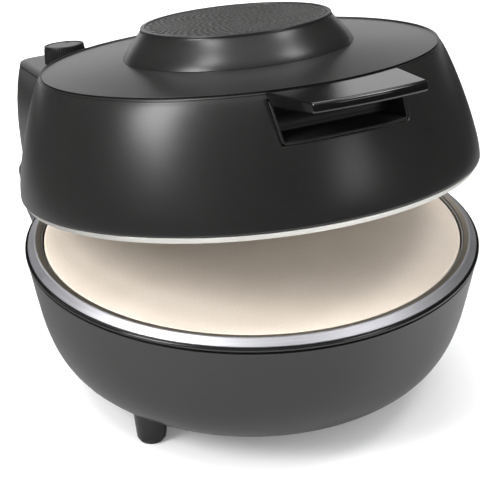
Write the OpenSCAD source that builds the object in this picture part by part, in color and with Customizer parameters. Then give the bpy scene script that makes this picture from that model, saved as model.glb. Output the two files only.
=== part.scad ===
// Electric pizza maker: a round bowl on four feet, a baking stone in it, and a domed lid with its
// own heating element, hinged at the back. Millimetres, +Z up, the handle faces -Y.
// Pieces are drawn from the middle of the bowl's rim; their heights are above or below that rim.

/* [Bowl] */
// Radius of the bowl at its rim
rim_r = 169; // [150:1:190]
// Height of the rim above the table
rim_h = 115; // [112:1:140]
// Depth of the bowl below its rim
bowl_depth = 101; // [90:1:108]
// Radius of the flat part of the bowl's bottom
bowl_flat_r = 92; // [80:1:100]
// Wall thickness of the mouldings
wall = 2.5; // [2:0.1:3.5]

/* [Feet] */
// How far each foot's middle lies in from the rim
foot_inset = 44; // [34:1:56]
// Radius of a foot where it meets the bowl
foot_top_r = 12.5; // [9:0.5:14]
// Radius of a foot at the table
foot_low_r = 10.5; // [7:0.5:11]
// Turn of the front feet from straight ahead, in degrees
front_foot_turn = 63; // [40:1:70]
// Turn of the rear feet from straight ahead, in degrees
rear_foot_turn = 142; // [125:1:150]
// Thickness of the rubber pad under a foot
pad_t = 2; // [1.5:0.5:4]

/* [Cooking zone] */
// How far the baking stone's edge lies in from the rim
stone_inset = 14.5; // [14.5:0.5:24]
// Thickness of the baking stone
stone_t = 12; // [8:1:14]
// Height of the stone's top above the rim
stone_top = 2.9; // [1:0.1:4]
// Gap between the stone's edge and the pan's wall
stone_gap = 1.2; // [0.8:0.1:3]
// Thickness of the sheet metal pieces
sheet_t = 1; // [0.6:0.1:1.4]
// Height of the deck ring's ridge above the rim
ridge_h = 5; // [4:0.1:5]
// Depth of the pan's floor below the rim
pan_depth = 38; // [34:1:44]
// Width of the pan's sloping side, from the stone's edge in to the pan's floor
pan_side_w = 22.5; // [19:0.5:34]

/* [Heating elements] */
// Radius of the heating rod
rod_r = 3.25; // [2.5:0.25:4]
// How far an element's outer turn lies in from the edge of the pan's floor
element_inset = 28; // [24:1:40]
// Distance between an element's outer turn and its inner turn
element_pitch = 46; // [34:1:56]
// Space between a heating rod and the sheet behind it
rod_standoff = 6; // [4:0.5:9]
// Half the gap between an element's ends, in degrees
rod_gap_turn = 14; // [10:1:18]

/* [Lid] */
// How far the lid shell's lower edge lies in from the rim
lid_inset = 1.6; // [0.2:0.1:6]
// How far the lid's side leans in, from its lower edge to the crease
lid_lean = 24.7; // [18:0.1:34]
// Height of the crease above the rim, lid closed
crease_h = 93.9; // [85:0.5:105]
// Height of the lid shell's lower edge above the rim, lid closed
lid_low_h = 10.3; // [9:0.1:14]
// Height of the metal ring's lower edge above the rim, lid closed
ring_low_h = 5.6; // [5.5:0.1:7]
// How far the lid stands open at rest, in degrees
lid_open = 10.8; // [1:0.1:20]

/* [Dome] */
// Width of the lid's top between the crease and the dome
lid_top_w = 60.1; // [52:0.1:70]
// How far the lid's top rises from the crease to the dome
lid_top_rise = 4.7; // [2:0.1:12]
// Height of the dome
dome_h = 21.4; // [16:0.1:32]
// How far the dome's side leans in
dome_lean = 14.8; // [10:0.1:22]
// Distance from each vent hole to the next
vent_pitch = 4.4; // [4:0.1:7]
// Radius of a vent hole
vent_hole_r = 1.15; // [0.8:0.05:1.3]

/* [Handle] */
// Half the width of the grip at its front lip
grip_front_w = 40.6; // [30:0.2:44]
// Half the width of the grip where it meets the lid
grip_root_w = 49; // [46:0.5:56]
// How far the front lip stands out past the rim
grip_overhang = 18; // [8:1:26]
// Height of the grip's front lip
grip_lip_t = 6.6; // [5:0.2:9]
// Depth of the finger recess's floor below the crease
recess_drop = 32.1; // [24:0.1:36]
// How far the recess's back lies in from the crease
recess_inset = 15.7; // [11:0.1:18]

/* [Rear housings] */
// How far the housings' flat back stands behind the rim
rear_reach = 65; // [62:1:80]
// How far the upper housing's side lies in from the rim, seen from behind
housing_inset = 56; // [53:1:70]
// How far the upper housing's side leans in towards its top
housing_lean = 12; // [5:0.5:18]
// Depth of the upper housing's top below the crease
housing_drop = 16.4; // [8:0.1:24]
// Radius of the upper housing's upright rear corners
housing_corner_r = 56; // [40:1:64]
// How far the upper housing's sides turn outward towards the lid, in degrees
housing_flare = 5.4; // [0:0.1:7]
// How far the upper housing's back leans forward towards its top
housing_back_lean = 5; // [1:0.5:9]
// Height of the upper housing's lower edge above the rim, lid closed
housing_low_h = 5; // [4:0.5:8]
// Depth of the lower housing's top below the rim
base_top_d = 3; // [2.5:0.5:6]
// Depth of the lower housing's bottom below the rim
base_low_d = 78; // [60:1:90]
// Depth of the lower housing's knee below the rim
base_knee_d = 62; // [52:1:68]
// Radius of the lower housing's upright rear corners
base_corner_r = 45; // [40:1:60]

/* [Hinge] */
// How far the hinge axis lies in from the housings' back
hinge_inset = 12; // [10:0.5:18]
// Height of the hinge axis above the rim
hinge_h = 14; // [12:0.5:18]
// Distance of each hinge bracket from the middle plane
hinge_x = 50; // [30:1:54]
// Thickness of a hinge bracket
bracket_t = 4; // [3:0.5:6]
// Radius of a hinge pin
pin_r = 3; // [2.5:0.25:4]
// Radius of the eyes and knuckles round a pin
knuckle_r = 7.5; // [6:0.25:8]
// Radial clearance of a running pin or shaft
run_gap = 0.05; // [0.02:0.01:0.1]

/* [Knob] */
// How far the knob's middle lies in from the housing's side
knob_side_inset = 41.5; // [34:0.5:100]
// How far the knob's middle lies ahead of the housings' back
knob_back_inset = 60; // [50:0.5:64]
// Radius of the knob at its skirt
knob_r = 16.7; // [12:0.1:18]
// Height of the knob
knob_h = 14.2; // [12:0.1:20]
// Number of grip ribs round the knob
knob_ribs = 36; // [18:1:48]
// Radius of the thermostat shaft
shaft_r = 3; // [2:0.25:4]
// Turn of the knob's pointer from straight right, in degrees
knob_pointer_turn = 55; // [0:5:355]

/* [Hidden] */
$fn = 120;

// Gap between mouldings that meet, and between pieces that lie on each other without touching
seam = 0.25;
// Steps along a curved outline
curve_steps = 18;
// Far enough to cut right through anything
far = 300;

// Where the front feet and the rear feet stand, as turns from straight ahead
foot_turns = [front_foot_turn, -front_foot_turn, rear_foot_turn, -rear_foot_turn];
foot_ring_r = rim_r - foot_inset;
foot_h = rim_h - pad_t;
foot_boss_l = 18;
foot_boss_h = -bowl_depth + foot_boss_l;
foot_screw_r = 2;
foot_screw_head_r = 4;

// Control points of the bowl's outline, from the rim down to the flat bottom
bowl_lean = 11.7;
bowl_lean_d = 56;
bowl_turn_in = 6;
bowl_curve = [[rim_r, 0], [rim_r - bowl_lean, -bowl_lean_d], [rim_r - bowl_turn_in, -bowl_depth],
              [bowl_flat_r, -bowl_depth]];
rim_edge_r = 1.2;

// Radii and heights up the lid, and the control points of its side up to the crease
lid_low_r = rim_r - lid_inset;
crease_r = lid_low_r - lid_lean;
dome_low_r = crease_r - lid_top_w;
dome_top_r = dome_low_r - dome_lean;
dome_low_h = crease_h + lid_top_rise;
dome_top_h = dome_low_h + dome_h;
lid_swell = 0.8;
lid_swell_h = 17;
lid_shoulder = 7.4;
lid_shoulder_d = 8;
lid_curve = [[lid_low_r, lid_low_h], [lid_low_r + lid_swell, lid_low_h + lid_swell_h],
             [crease_r + lid_shoulder, crease_h - lid_shoulder_d], [crease_r, crease_h]];

// Heights and radii of the cooking zone
stone_r = rim_r - stone_inset;
pan_wall_r = stone_r + stone_gap;
pan_floor_r = stone_r - pan_side_w;
stone_low = stone_top - stone_t;
ledge_w = 9;
deck_outer_r = rim_r - wall;
deck_skirt_r = deck_outer_r - 1.2;
ridge_r = deck_outer_r - 5;
deck_inner_r = pan_wall_r + sheet_t + seam;
element_outer_r = pan_floor_r - element_inset;
element_inner_r = element_outer_r - element_pitch;
rod_bend_r = 2 * rod_r;
rod_leg_l = rod_standoff + rod_r + 14;
lower_rod_h = -pan_depth + sheet_t + rod_standoff + rod_r;
clip_turns = [0, 150, 255];

// Studs that carry the pan and the heat shield over the bowl's bottom
stud_turns = [40, 160, 280];
stud_ring_r = pan_floor_r - 52;
stud_r = 2.5;
stud_collar_r = 5;
shield_depth = pan_depth + 22;
shield_r = pan_floor_r + 2;

// The liner hangs in the lid; the upper element hangs under its flat top
liner_low_r = stone_r + 4;
liner_top_r = liner_low_r - 40.5;
liner_top_h = crease_h - 35.9;
liner_bend_h = ring_low_h + 18.4;
upper_rod_h = liner_top_h - sheet_t - rod_standoff - rod_r;
shield_gap = 6;

// The vent disc lies in a seat in the dome's rolled edge
vent_r = dome_top_r - 3.2;
vent_t = 1.8;
vent_seat = 2.2;
vent_area_r = vent_r - 3;
vent_count = floor(PI * pow(vent_area_r / vent_pitch, 2));

// Sizes of the grip and of the finger recess behind it
grip_reach = rim_r + grip_overhang;
grip_top_h = crease_h + 0.2;
neck_t = 4;
recess_low_h = crease_h - recess_drop;
recess_back = crease_r - recess_inset;
recess_top_h = crease_h - 5.3;
recess_wall = 1.8;
lid_front = lid_low_r + 10;
handle_screw_x = [-28, 28];
handle_screw_h = recess_top_h - seam - neck_t / 2;
handle_screw_r = 1.25;
handle_screw_l = 9;

// The rear housings and the cord's inlet
rear_y = rim_r + rear_reach;
housing_w = rim_r - housing_inset;
housing_top_w = housing_w - housing_lean;
housing_top_h = crease_h - housing_drop;
bush_d = 24;
bush_r = 6;
bush_flange_r = 9;
cord_hole_r = 3.5;

// Hinge sizes: a bracket's eye runs between two knuckles of the lid's housing
hinge_y = rear_y - hinge_inset;
pin_hold = 8;
eye_half = bracket_t / 2 + seam;
pin_half = eye_half + pin_hold;
bracket_foot_x = hinge_x - 9;
bracket_foot_t = 2.5;
bracket_foot_h = -base_top_d - wall - bracket_foot_t;
bracket_front = hinge_y - 20;
bracket_back = hinge_y + 2;
bracket_screw_y = [bracket_front + 5, bracket_back - 6];
bracket_screw_r = 1.6;

// How far the opened lid's housing reaches back, and the shift that centres the whole on the origin
tilt_back = (hinge_inset - housing_back_lean) * cos(lid_open)
    + (housing_top_h - 2 - hinge_h) * sin(lid_open);
axis_shift = (hinge_y + tilt_back - rim_r) / 2;

// Plate that closes the wiring space under the upper housing, ahead of the hinge
plate_h = housing_low_h + 3;
plate_t = 2;
plate_front = lid_low_r + 7.6;
plate_back = hinge_y - 14;
plate_screw_r = 1.5;
plate_boss_r = 4;
plate_screw_at = [[18 - housing_w, plate_front + 13], [housing_w - 18, plate_front + 13],
                  [-30, plate_back - 8], [30, plate_back - 8]];

// The knob stands on the upper housing's top
knob_x = knob_side_inset - housing_w;
knob_y = rear_y - knob_back_inset;
knob_low_h = housing_top_h + 0.6;
knob_wall = 2;
inlay_t = 0.8;
inlay_r = knob_r - 3.4;

// ---- Shared shapes ----

// A point of the cubic curve through four control points, pushed to its left by inset
function curve_point(c, t, inset = 0) =
    let (
        u = 1 - t,
        p = u * u * u * c[0] + 3 * u * u * t * c[1] + 3 * u * t * t * c[2] + t * t * t * c[3],
        d = u * u * (c[1] - c[0]) + 2 * u * t * (c[2] - c[1]) + t * t * (c[3] - c[2])
    )
    p + inset * [-d[1], d[0]] / norm(d);

// A whole curve as points, from its first control point to its last
function curve_points(c, inset = 0) =
    [for (i = [0 : curve_steps]) curve_point(c, i / curve_steps, inset)];

// Points of an arc of radius r about centre m, between two angles
function arc_points(m, r, a0, a1, steps = 12) =
    [for (i = [0 : steps]) m + r * [cos(a0 + (a1 - a0) * i / steps), sin(a0 + (a1 - a0) * i / steps)]];

// The same points in the opposite order
function reversed(p) = [for (i = [len(p) - 1 : -1 : 0]) p[i]];

// Place of a thing at a turn from straight ahead, at distance r from the axis
module at_turn(turn, r) {
    rotate([0, 0, turn - 90])
        translate([r, 0, 0])
            children();
}

// The base stands on the table; its pieces are drawn from the middle of the rim
module in_base() {
    translate([0, -axis_shift, rim_h])
        children();
}

// The lid is drawn closed and then opened about its hinge
module in_lid() {
    in_base()
        translate([0, hinge_y, hinge_h])
            rotate([-lid_open, 0, 0])
                translate([0, -hinge_y, -hinge_h])
                    children();
}

// A sheet metal dish: a profile given as its upper line, thick downwards
module sheet_dish(line, t = sheet_t) {
    rotate_extrude()
        polygon(concat(line, [for (p = reversed(line)) p - [0, t]]));
}

// A body of revolution filled out to the bowl's outline
module bowl_form(grow = 0) {
    rotate_extrude()
        polygon(concat([[0, 0]], curve_points(bowl_curve, grow), [[0, -bowl_depth - grow]]));
}

// A body of revolution filled out to the closed lid's outline, and on down past its ring
module lid_form(grow = 0) {
    low = -ring_low_h;
    rotate_extrude()
        polygon(concat([[0, low], [lid_low_r + grow, low]], curve_points(lid_curve, -grow),
                       [[crease_r, crease_h + grow], [dome_low_r, dome_low_h + grow],
                        [0, dome_low_h + grow]]));
}

// Stations along a bent rod. Each is a point, the direction of travel there, and a side direction
// square to it that never twists. On a flat turn of radius r about m, from angle a0 to a1:
function turn_stations(m, r, a0, a1, steps) =
    let (way = sign(a1 - a0))
    [for (i = [0 : steps])
        let (a = a0 + (a1 - a0) * i / steps)
        [m + r * [cos(a), sin(a), 0], way * [-sin(a), cos(a), 0], way * [-cos(a), -sin(a), 0]]];

// The quarter bend and the leg that lead down from the flat station s, taken backwards
function leg_stations(s, r, leg, steps = 4) =
    concat(
        [for (i = [1 : steps])
            let (a = 90 * i / steps)
            [s[0] - r * sin(a) * s[1] - [0, 0, r * (1 - cos(a))],
             cos(a) * s[1] + [0, 0, sin(a)], s[2]]],
        [[s[0] - r * s[1] - [0, 0, leg], [0, 0, 1], s[2]]]);

// The same stations travelled the other way
function turned_back(stations) = [for (s = reversed(stations)) [s[0], -s[1], s[2]]];

// A round rod swept through its stations
module swept_rod(stations, r, sides = 10) {
    rings = [for (s = stations, k = [0 : sides - 1])
        let (a = 360 * k / sides)
        s[0] + r * (cos(a) * s[2] + sin(a) * cross(s[1], s[2]))];
    n = len(stations);
    polyhedron(
        rings,
        concat(
            [[for (k = [sides - 1 : -1 : 0]) k]],
            [for (i = [0 : n - 2], k = [0 : sides - 1])
                [i * sides + k, i * sides + (k + 1) % sides,
                 (i + 1) * sides + (k + 1) % sides, (i + 1) * sides + k]],
            [[for (k = [0 : sides - 1]) (n - 1) * sides + k]]));
}

// Where the two legs of a heating rod stand, and children put there
module at_rod_legs() {
    for (end = [[element_outer_r, rod_gap_turn], [element_inner_r, 2 * rod_gap_turn]])
        rotate([0, 0, 90 + end[1]])
            translate([end[0], -rod_bend_r, 0])
                children();
}

// A heating rod bent to two turns joined by a U-bend, in the plane z = 0, with two legs that turn
// down through a quarter bend and reach leg below the plane
module heating_rod(leg) {
    u_turn = 450 - 3 * rod_gap_turn;
    middle_r = (element_outer_r + element_inner_r) / 2;
    middle = middle_r * [cos(u_turn), sin(u_turn), 0];
    outer = turn_stations([0, 0, 0], element_outer_r, 90 + rod_gap_turn, u_turn, 38);
    bend = turn_stations(middle, element_outer_r - middle_r, u_turn, u_turn + 180, 10);
    inner = turn_stations([0, 0, 0], element_inner_r, u_turn, 90 + 2 * rod_gap_turn, 28);
    last = turned_back([inner[len(inner) - 1]])[0];
    first_leg = reversed(leg_stations(outer[0], rod_bend_r, leg));
    last_leg = turned_back(reversed(leg_stations(last, rod_bend_r, leg)));
    swept_rod(concat(first_leg, outer, [for (i = [1 : 9]) bend[i]], inner, last_leg), rod_r);
}

// An upright strip with two notches that the rods lie in; its foot is at z = 0
module rod_clip(rod_h) {
    notch_r = rod_r + 0.2;
    clip_h = rod_h + rod_r;
    rotate([90, 0, 0])
        linear_extrude(sheet_t, center = true)
            difference() {
                translate([element_inner_r - 12, 0])
                    square([element_outer_r - element_inner_r + 24, clip_h]);
                for (r = [element_inner_r, element_outer_r])
                    translate([r, rod_h]) {
                        circle(notch_r, $fn = 32);
                        translate([-notch_r, 0])
                            square([2 * notch_r, far]);
                    }
            }
}

// A pan-head screw standing on z = 0 with its shank going down
module screw(head_r, head_h, shank_r, shank_l) {
    difference() {
        cylinder(r = head_r, h = head_h, $fn = 32);
        for (turn = [0, 90])
            rotate([0, 0, turn])
                translate([0, 0, head_h])
                    cube([head_r * 1.2, 0.8, head_h * 0.9], center = true);
    }
    translate([0, 0, -shank_l])
        cylinder(r = shank_r, h = shank_l + head_h / 4, $fn = 32);
}

// ---- Base ----

// Where the bowl's outline stands at the feet's distance, found along the curve
function bowl_z_at(r) =
    max([for (i = [0 : 200]) let (p = curve_point(bowl_curve, i / 200)) p[0] <= r ? p[1] : -far]);

foot_seat_h = bowl_z_at(foot_ring_r - foot_top_r);

// The outer bowl, open at the top, with a boss inside over each foot and air slots in its bottom
module bowl_shell() {
    slot_l = 34;
    slot_w = 3;
    rim_edge = arc_points([rim_r - 1.25 * rim_edge_r, -rim_edge_r], rim_edge_r, 90, -12, 5);
    color([0.2, 0.2, 0.2])
        in_base()
            difference() {
                union() {
                    rotate_extrude()
                        polygon(concat(
                            rim_edge,
                            [for (p = curve_points(bowl_curve)) if (p[1] < -2 * rim_edge_r) p],
                            [[0, -bowl_depth], [0, -bowl_depth + wall]],
                            reversed(curve_points(bowl_curve, -wall))));
                    intersection() {
                        bowl_form(-wall / 2);
                        for (turn = foot_turns)
                            at_turn(turn, foot_ring_r)
                                translate([0, 0, -bowl_depth])
                                    cylinder(r = foot_screw_head_r + 1, h = bowl_depth + foot_boss_h);
                    }
                    for (turn = stud_turns)
                        at_turn(turn, stud_ring_r)
                            translate([0, 0, -bowl_depth + wall / 2])
                                cylinder(r = stud_r + wall, h = wall + 4);
                }
                for (turn = foot_turns)
                    at_turn(turn, foot_ring_r)
                        translate([0, 0, -far])
                            cylinder(r = foot_screw_r, h = far, $fn = 32);
                for (turn = stud_turns)
                    at_turn(turn, stud_ring_r)
                        translate([0, 0, -bowl_depth + wall])
                            cylinder(r = stud_r, h = far, $fn = 32);
                for (i = [-4 : 4])
                    translate([i * slot_w * 3 - slot_w / 2, -slot_l / 2, -far])
                        cube([slot_w, slot_l, far - bowl_depth + 2 * wall]);
            }
}

// Bare pressed ring round the stone: a sloping outer band, a ridge and a nearly flat inner band
module deck_ring() {
    skirt_h = -4;
    top = [[deck_outer_r, 0.8], [ridge_r + 0.5, ridge_h - 0.4], [ridge_r - 0.6, ridge_h],
           [deck_inner_r, ridge_h - 0.9]];
    color([0.75, 0.75, 0.76])
        in_base()
            rotate_extrude()
                polygon(concat(
                    top,
                    [[deck_inner_r, skirt_h], [deck_inner_r + sheet_t, skirt_h],
                     [deck_inner_r + sheet_t, ridge_h - 0.9 - sheet_t],
                     [ridge_r - 0.6, ridge_h - sheet_t], [deck_skirt_r - sheet_t, 0.8],
                     [deck_skirt_r - sheet_t, skirt_h], [deck_skirt_r, skirt_h],
                     [deck_skirt_r, seam], [deck_outer_r, seam]]));
}

// Pressed pan under the stone; the stone lies on its ledge
module reflector_pan() {
    ledge_h = stone_low - seam;
    line = [[pan_wall_r, ridge_h - 1.6], [pan_wall_r, ledge_h], [pan_wall_r - ledge_w, ledge_h],
            [pan_wall_r - ledge_w - 1, ledge_h - 2], [pan_floor_r + 3, -pan_depth + 6 + sheet_t],
            [pan_floor_r, -pan_depth + sheet_t], [0, -pan_depth + sheet_t]];
    outer = [[0, -pan_depth], [pan_floor_r + 0.5, -pan_depth], [pan_floor_r + 4, -pan_depth + 6],
             [pan_wall_r - ledge_w, ledge_h - 2 - sheet_t], [pan_wall_r - ledge_w, ledge_h - sheet_t],
             [pan_wall_r + sheet_t, ledge_h - sheet_t], [pan_wall_r + sheet_t, ridge_h - 1.6]];
    color([0.62, 0.62, 0.62])
        in_base()
            difference() {
                rotate_extrude()
                    polygon(concat(line, outer));
                rod_leg_holes(-far, far);
                for (turn = stud_turns)
                    at_turn(turn, stud_ring_r)
                        translate([0, 0, -far])
                            cylinder(r = stud_r + 0.1, h = far, $fn = 32);
            }
}

// Holes that the legs of a heating rod pass through
module rod_leg_holes(z0, h) {
    at_rod_legs()
        translate([0, 0, z0])
            cylinder(r = rod_r + 0.15, h = h, $fn = 32);
}

module lower_element() {
    color([0.35, 0.34, 0.33])
        in_base()
            translate([0, 0, lower_rod_h])
                heating_rod(rod_leg_l);
}

module lower_element_clips() {
    color([0.7, 0.7, 0.7])
        in_base()
            for (turn = clip_turns)
                rotate([0, 0, turn])
                    translate([0, 0, -pan_depth + sheet_t])
                        rod_clip(lower_rod_h + pan_depth - sheet_t);
}

// Studs that carry the pan and the heat shield over the bowl's bottom
module pan_studs() {
    foot = -bowl_depth + wall;
    color([0.72, 0.72, 0.74])
        in_base()
            for (turn = stud_turns)
                at_turn(turn, stud_ring_r) {
                    translate([0, 0, foot])
                        cylinder(r = stud_r, h = -pan_depth + sheet_t + 4 - foot, $fn = 32);
                    translate([0, 0, foot + 4 + wall / 2])
                        cylinder(r = stud_collar_r, h = -shield_depth - sheet_t - foot - 4 - wall / 2,
                                 $fn = 32);
                    translate([0, 0, -shield_depth])
                        cylinder(r = stud_collar_r, h = shield_depth - pan_depth, $fn = 32);
                    translate([0, 0, -pan_depth + sheet_t])
                        cylinder(r = 4, h = 3, $fn = 6);
                }
}

// Dished plate that keeps the pan's heat off the bowl
module heat_shield() {
    color([0.66, 0.66, 0.66])
        in_base()
            difference() {
                sheet_dish([[shield_r + 12, -pan_depth + 14], [shield_r + 4, -shield_depth + 8],
                            [shield_r, -shield_depth], [0, -shield_depth]]);
                for (turn = stud_turns)
                    at_turn(turn, stud_ring_r)
                        translate([0, 0, -far])
                            cylinder(r = stud_r + 0.1, h = far, $fn = 32);
            }
}

// Bimetal disc that cuts the current when the pan is too hot, clamped under the pan
module thermal_cutout() {
    color([0.85, 0.83, 0.78])
        in_base()
            translate([18, -24, -pan_depth]) {
                translate([0, 0, -2])
                    cylinder(r = 11, h = 2, $fn = 48);
                translate([0, 0, -9])
                    cylinder(r = 8, h = 8, $fn = 48);
                for (side = [-1, 1])
                    translate([side * 4 - 0.4, -3, -17])
                        cube([0.8, 6, 9]);
            }
}

// Conical feet, cut to lie against the bowl, with a rounded lower edge
module feet() {
    round_r = 1.5;
    color([0.12, 0.12, 0.12])
        in_base()
            for (turn = foot_turns)
                difference() {
                    at_turn(turn, foot_ring_r)
                        translate([0, 0, -foot_h])
                            rotate_extrude()
                                difference() {
                                    polygon(concat(
                                        [[0, 0]],
                                        arc_points([foot_low_r - round_r, round_r], round_r, -90, 0, 6),
                                        [[foot_top_r, foot_h + foot_seat_h], [foot_top_r, foot_h - 80],
                                         [0, foot_h - 80]]));
                                    translate([-1, -1])
                                        square([foot_screw_r + 1, far]);
                                }
                    bowl_form(0);
                }
}

module foot_pads() {
    color([0.25, 0.25, 0.25])
        in_base()
            for (turn = foot_turns)
                at_turn(turn, foot_ring_r)
                    translate([0, 0, -rim_h])
                        cylinder(r = foot_low_r - 1.5, h = pad_t, $fn = 48);
}

module foot_screws() {
    color([0.75, 0.75, 0.77])
        in_base()
            for (turn = foot_turns)
                at_turn(turn, foot_ring_r)
                    translate([0, 0, foot_boss_h])
                        screw(foot_screw_head_r, 2.4, foot_screw_r, foot_h + foot_boss_h - 1);
}

// Outline of a rear housing seen from above: sides that draw in to two round corners
function housing_plan(w, corner_r, inset = 0) =
    let (
        r = corner_r - inset,
        side = w - inset,
        corner = arc_points([side - 2 - r, rear_y - corner_r], r, 4, 90, 10)
    )
    concat([[side + 3, 60]], corner, [for (p = reversed(corner)) [-p[0], p[1]]], [[-side - 3, 60]]);

// A rear housing: its plan, one flank seen from behind, and its side view, each cut right through.
// Each flank turns outward towards the lid by flare, about a line at flank_y
module housing_form(plan, flank, side, flare = 0) {
    flank_y = rear_y - 51;
    intersection() {
        translate([0, 0, -far / 2])
            linear_extrude(far)
                polygon(plan);
        for_flanks(flank_y, flank[0][0], flare)
            polygon(concat([[-far, flank[0][1]]], flank, [[-far, flank[len(flank) - 1][1]]]));
        for_flanks(flank_y, flank[0][0], flare, true)
            polygon(concat([[-far, flank[0][1]]], flank, [[-far, flank[len(flank) - 1][1]]]));
        rotate([90, 0, 90])
            translate([0, 0, -far / 2])
                linear_extrude(far)
                    polygon(side);
    }
}

// A flank's outline cut right through from back to front, on the right or mirrored to the left
module for_flanks(y, w, flare, left = false) {
    mirror([left ? 1 : 0, 0, 0])
        translate([w, y, 0])
            rotate([0, 0, flare])
                translate([-w, 0, 0])
                    rotate([90, 0, 0])
                        linear_extrude(2 * far, center = true)
                            children();
}

// The lower housing's shape, drawn in by inset
module base_housing_form(inset = 0) {
    top = -base_top_d - inset;
    low = -base_low_d + inset;
    edge_r = 5 - inset;
    w = housing_w + 3 - inset;
    back = rear_y - inset;
    knee_top = top - 40;
    flank = concat(
        [[w - 40, low], [w - 10, -base_knee_d], [w - 4, knee_top]],
        arc_points([w - edge_r, top - edge_r], edge_r, 0, 90, 5));
    side = concat(
        [[0, low], [back - 52, low], [back - 5, -base_knee_d], [back, knee_top]],
        arc_points([back - edge_r, top - edge_r], edge_r, 0, 90, 5),
        [[0, top]]);
    housing_form(housing_plan(housing_w + 3, base_corner_r, inset), flank, side);
}

// Lower rear housing: carries the hinge and takes in the mains cord
module rear_base_housing() {
    color([0.2, 0.2, 0.2])
        in_base()
            difference() {
                base_housing_form();
                base_housing_form(wall);
                bowl_form(seam);
                translate([0, rear_y, -bush_d])
                    rotate([90, 0, 0])
                        cylinder(r = bush_r, h = 60, center = true, $fn = 48);
                for (side = [-1, 1])
                    translate([side * hinge_x - bracket_t / 2 - seam, bracket_front - seam,
                               -base_top_d - 2 * wall])
                        cube([bracket_t + 2 * seam, hinge_y + knuckle_r - bracket_front, far]);
                for (side = [-1, 1], y = bracket_screw_y)
                    translate([side * bracket_foot_x, y, -base_top_d - 2 * wall])
                        cylinder(r = bracket_screw_r, h = 2 * wall - 0.6, $fn = 32);
            }
}

// Soft bush that the cord comes in through
module cord_bush() {
    color([0.1, 0.1, 0.1])
        in_base()
            translate([0, rear_y, -bush_d])
                rotate([-90, 0, 0])
                    rotate_extrude($fn = 48)
                        polygon([[cord_hole_r, -wall - 6], [bush_r - 0.05, -wall - 6],
                                 [bush_r - 0.05, 0], [bush_flange_r, 0], [bush_flange_r, 1.4],
                                 [bush_r, 3], [cord_hole_r + 1, 8], [cord_hole_r, 8]]);
}

// Ceramic block where the cord's wires meet the elements' wires
module terminal_block() {
    block = [36, 12, 14];
    ways = 3;
    color([0.9, 0.88, 0.82])
        in_base()
            translate([28, rear_y - wall - block[1], -20 - block[2]])
                difference() {
                    cube(block);
                    for (i = [0 : ways - 1])
                        translate([(i + 0.5) * block[0] / ways, block[1] / 2, -1])
                            cylinder(r = 3, h = block[2] + 2, $fn = 32);
                }
}

// Steel brackets: a foot under the lower housing's top and an upright eye that holds the pin
module hinge_brackets() {
    foot_w = 16;
    foot_l = bracket_back - bracket_front;
    color([0.7, 0.7, 0.72])
        in_base()
            for (side = [-1, 1])
                difference() {
                    union() {
                        translate([side * hinge_x - bracket_t / 2, 0, 0])
                            rotate([90, 0, 90])
                                linear_extrude(bracket_t)
                                    hull() {
                                        translate([hinge_y, hinge_h])
                                            circle(knuckle_r, $fn = 64);
                                        translate([bracket_front, bracket_foot_h])
                                            square([foot_l, bracket_foot_t]);
                                    }
                        translate([side > 0 ? hinge_x - foot_w : -hinge_x, bracket_front,
                                   bracket_foot_h])
                            cube([foot_w, foot_l, bracket_foot_t]);
                    }
                    translate([side * hinge_x, hinge_y, hinge_h])
                        rotate([0, 90, 0])
                            cylinder(r = pin_r, h = 2 * bracket_t, center = true, $fn = 64);
                    for (y = bracket_screw_y)
                        translate([side * bracket_foot_x, y, bracket_foot_h - 1])
                            cylinder(r = bracket_screw_r, h = 10, $fn = 32);
                }
}

module bracket_screws() {
    color([0.75, 0.75, 0.77])
        in_base()
            for (side = [-1, 1], y = bracket_screw_y)
                translate([side * bracket_foot_x, y, bracket_foot_h])
                    mirror([0, 0, 1])
                        screw(2.8, 1.6, bracket_screw_r, bracket_foot_t + wall - 0.8);
}

// Two steel pins, held in the brackets; the lid's knuckles turn on their ends
module hinge_pins() {
    color([0.8, 0.8, 0.82])
        in_base()
            for (side = [-1, 1])
                translate([side * hinge_x, hinge_y, hinge_h])
                    rotate([0, 90, 0])
                        cylinder(r = pin_r, h = 2 * pin_half, center = true, $fn = 64);
}

// ---- Baking stone ----

module baking_stone() {
    edge_r = 1.5;
    color([0.93, 0.9, 0.84])
        in_base()
            rotate_extrude()
                polygon(concat(
                    [[0, stone_low]],
                    arc_points([stone_r - edge_r, stone_low + edge_r], edge_r, -90, 0, 5),
                    arc_points([stone_r - edge_r, stone_top - edge_r], edge_r, 0, 90, 5),
                    [[0, stone_top]]));
}

// ---- Lid ----

// The lid's outer moulding, with an opening for the finger recess and one for the dome's air
module lid_shell() {
    air_r = dome_low_r - 8;
    inner = reversed(curve_points(lid_curve, wall));
    color([0.2, 0.2, 0.2])
        in_lid()
            difference() {
                rotate_extrude()
                    polygon(concat(
                        curve_points(lid_curve),
                        [[dome_low_r, dome_low_h], [air_r, dome_low_h + 0.6],
                         [air_r, dome_low_h + 0.6 - wall], [crease_r - 1.5 * wall, crease_h - wall]],
                        [for (p = inner) if (p[1] < crease_h - wall) p]));
                recess_form(recess_wall + 0.2);
            }
}

// Space of the finger recess: splayed cheeks seen from above, a sloping floor seen from the side
module recess_form(grow = 0) {
    back = -recess_back + grow;
    cheek_back = grip_root_w - 6 + grow;
    cheek_front = grip_root_w + 1 + grow;
    intersection() {
        translate([0, 0, recess_low_h - 20])
            linear_extrude(60)
                polygon([[-cheek_back, back], [-cheek_front, -lid_front],
                         [cheek_front, -lid_front], [cheek_back, back]]);
        rotate([90, 0, 90])
            translate([0, 0, -far / 2])
                linear_extrude(far)
                    polygon([[back, recess_top_h + grow], [back, recess_low_h + 3 - grow],
                             [-lid_front, recess_low_h - 0.8 - grow],
                             [-lid_front, recess_top_h + grow]]);
    }
}

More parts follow.
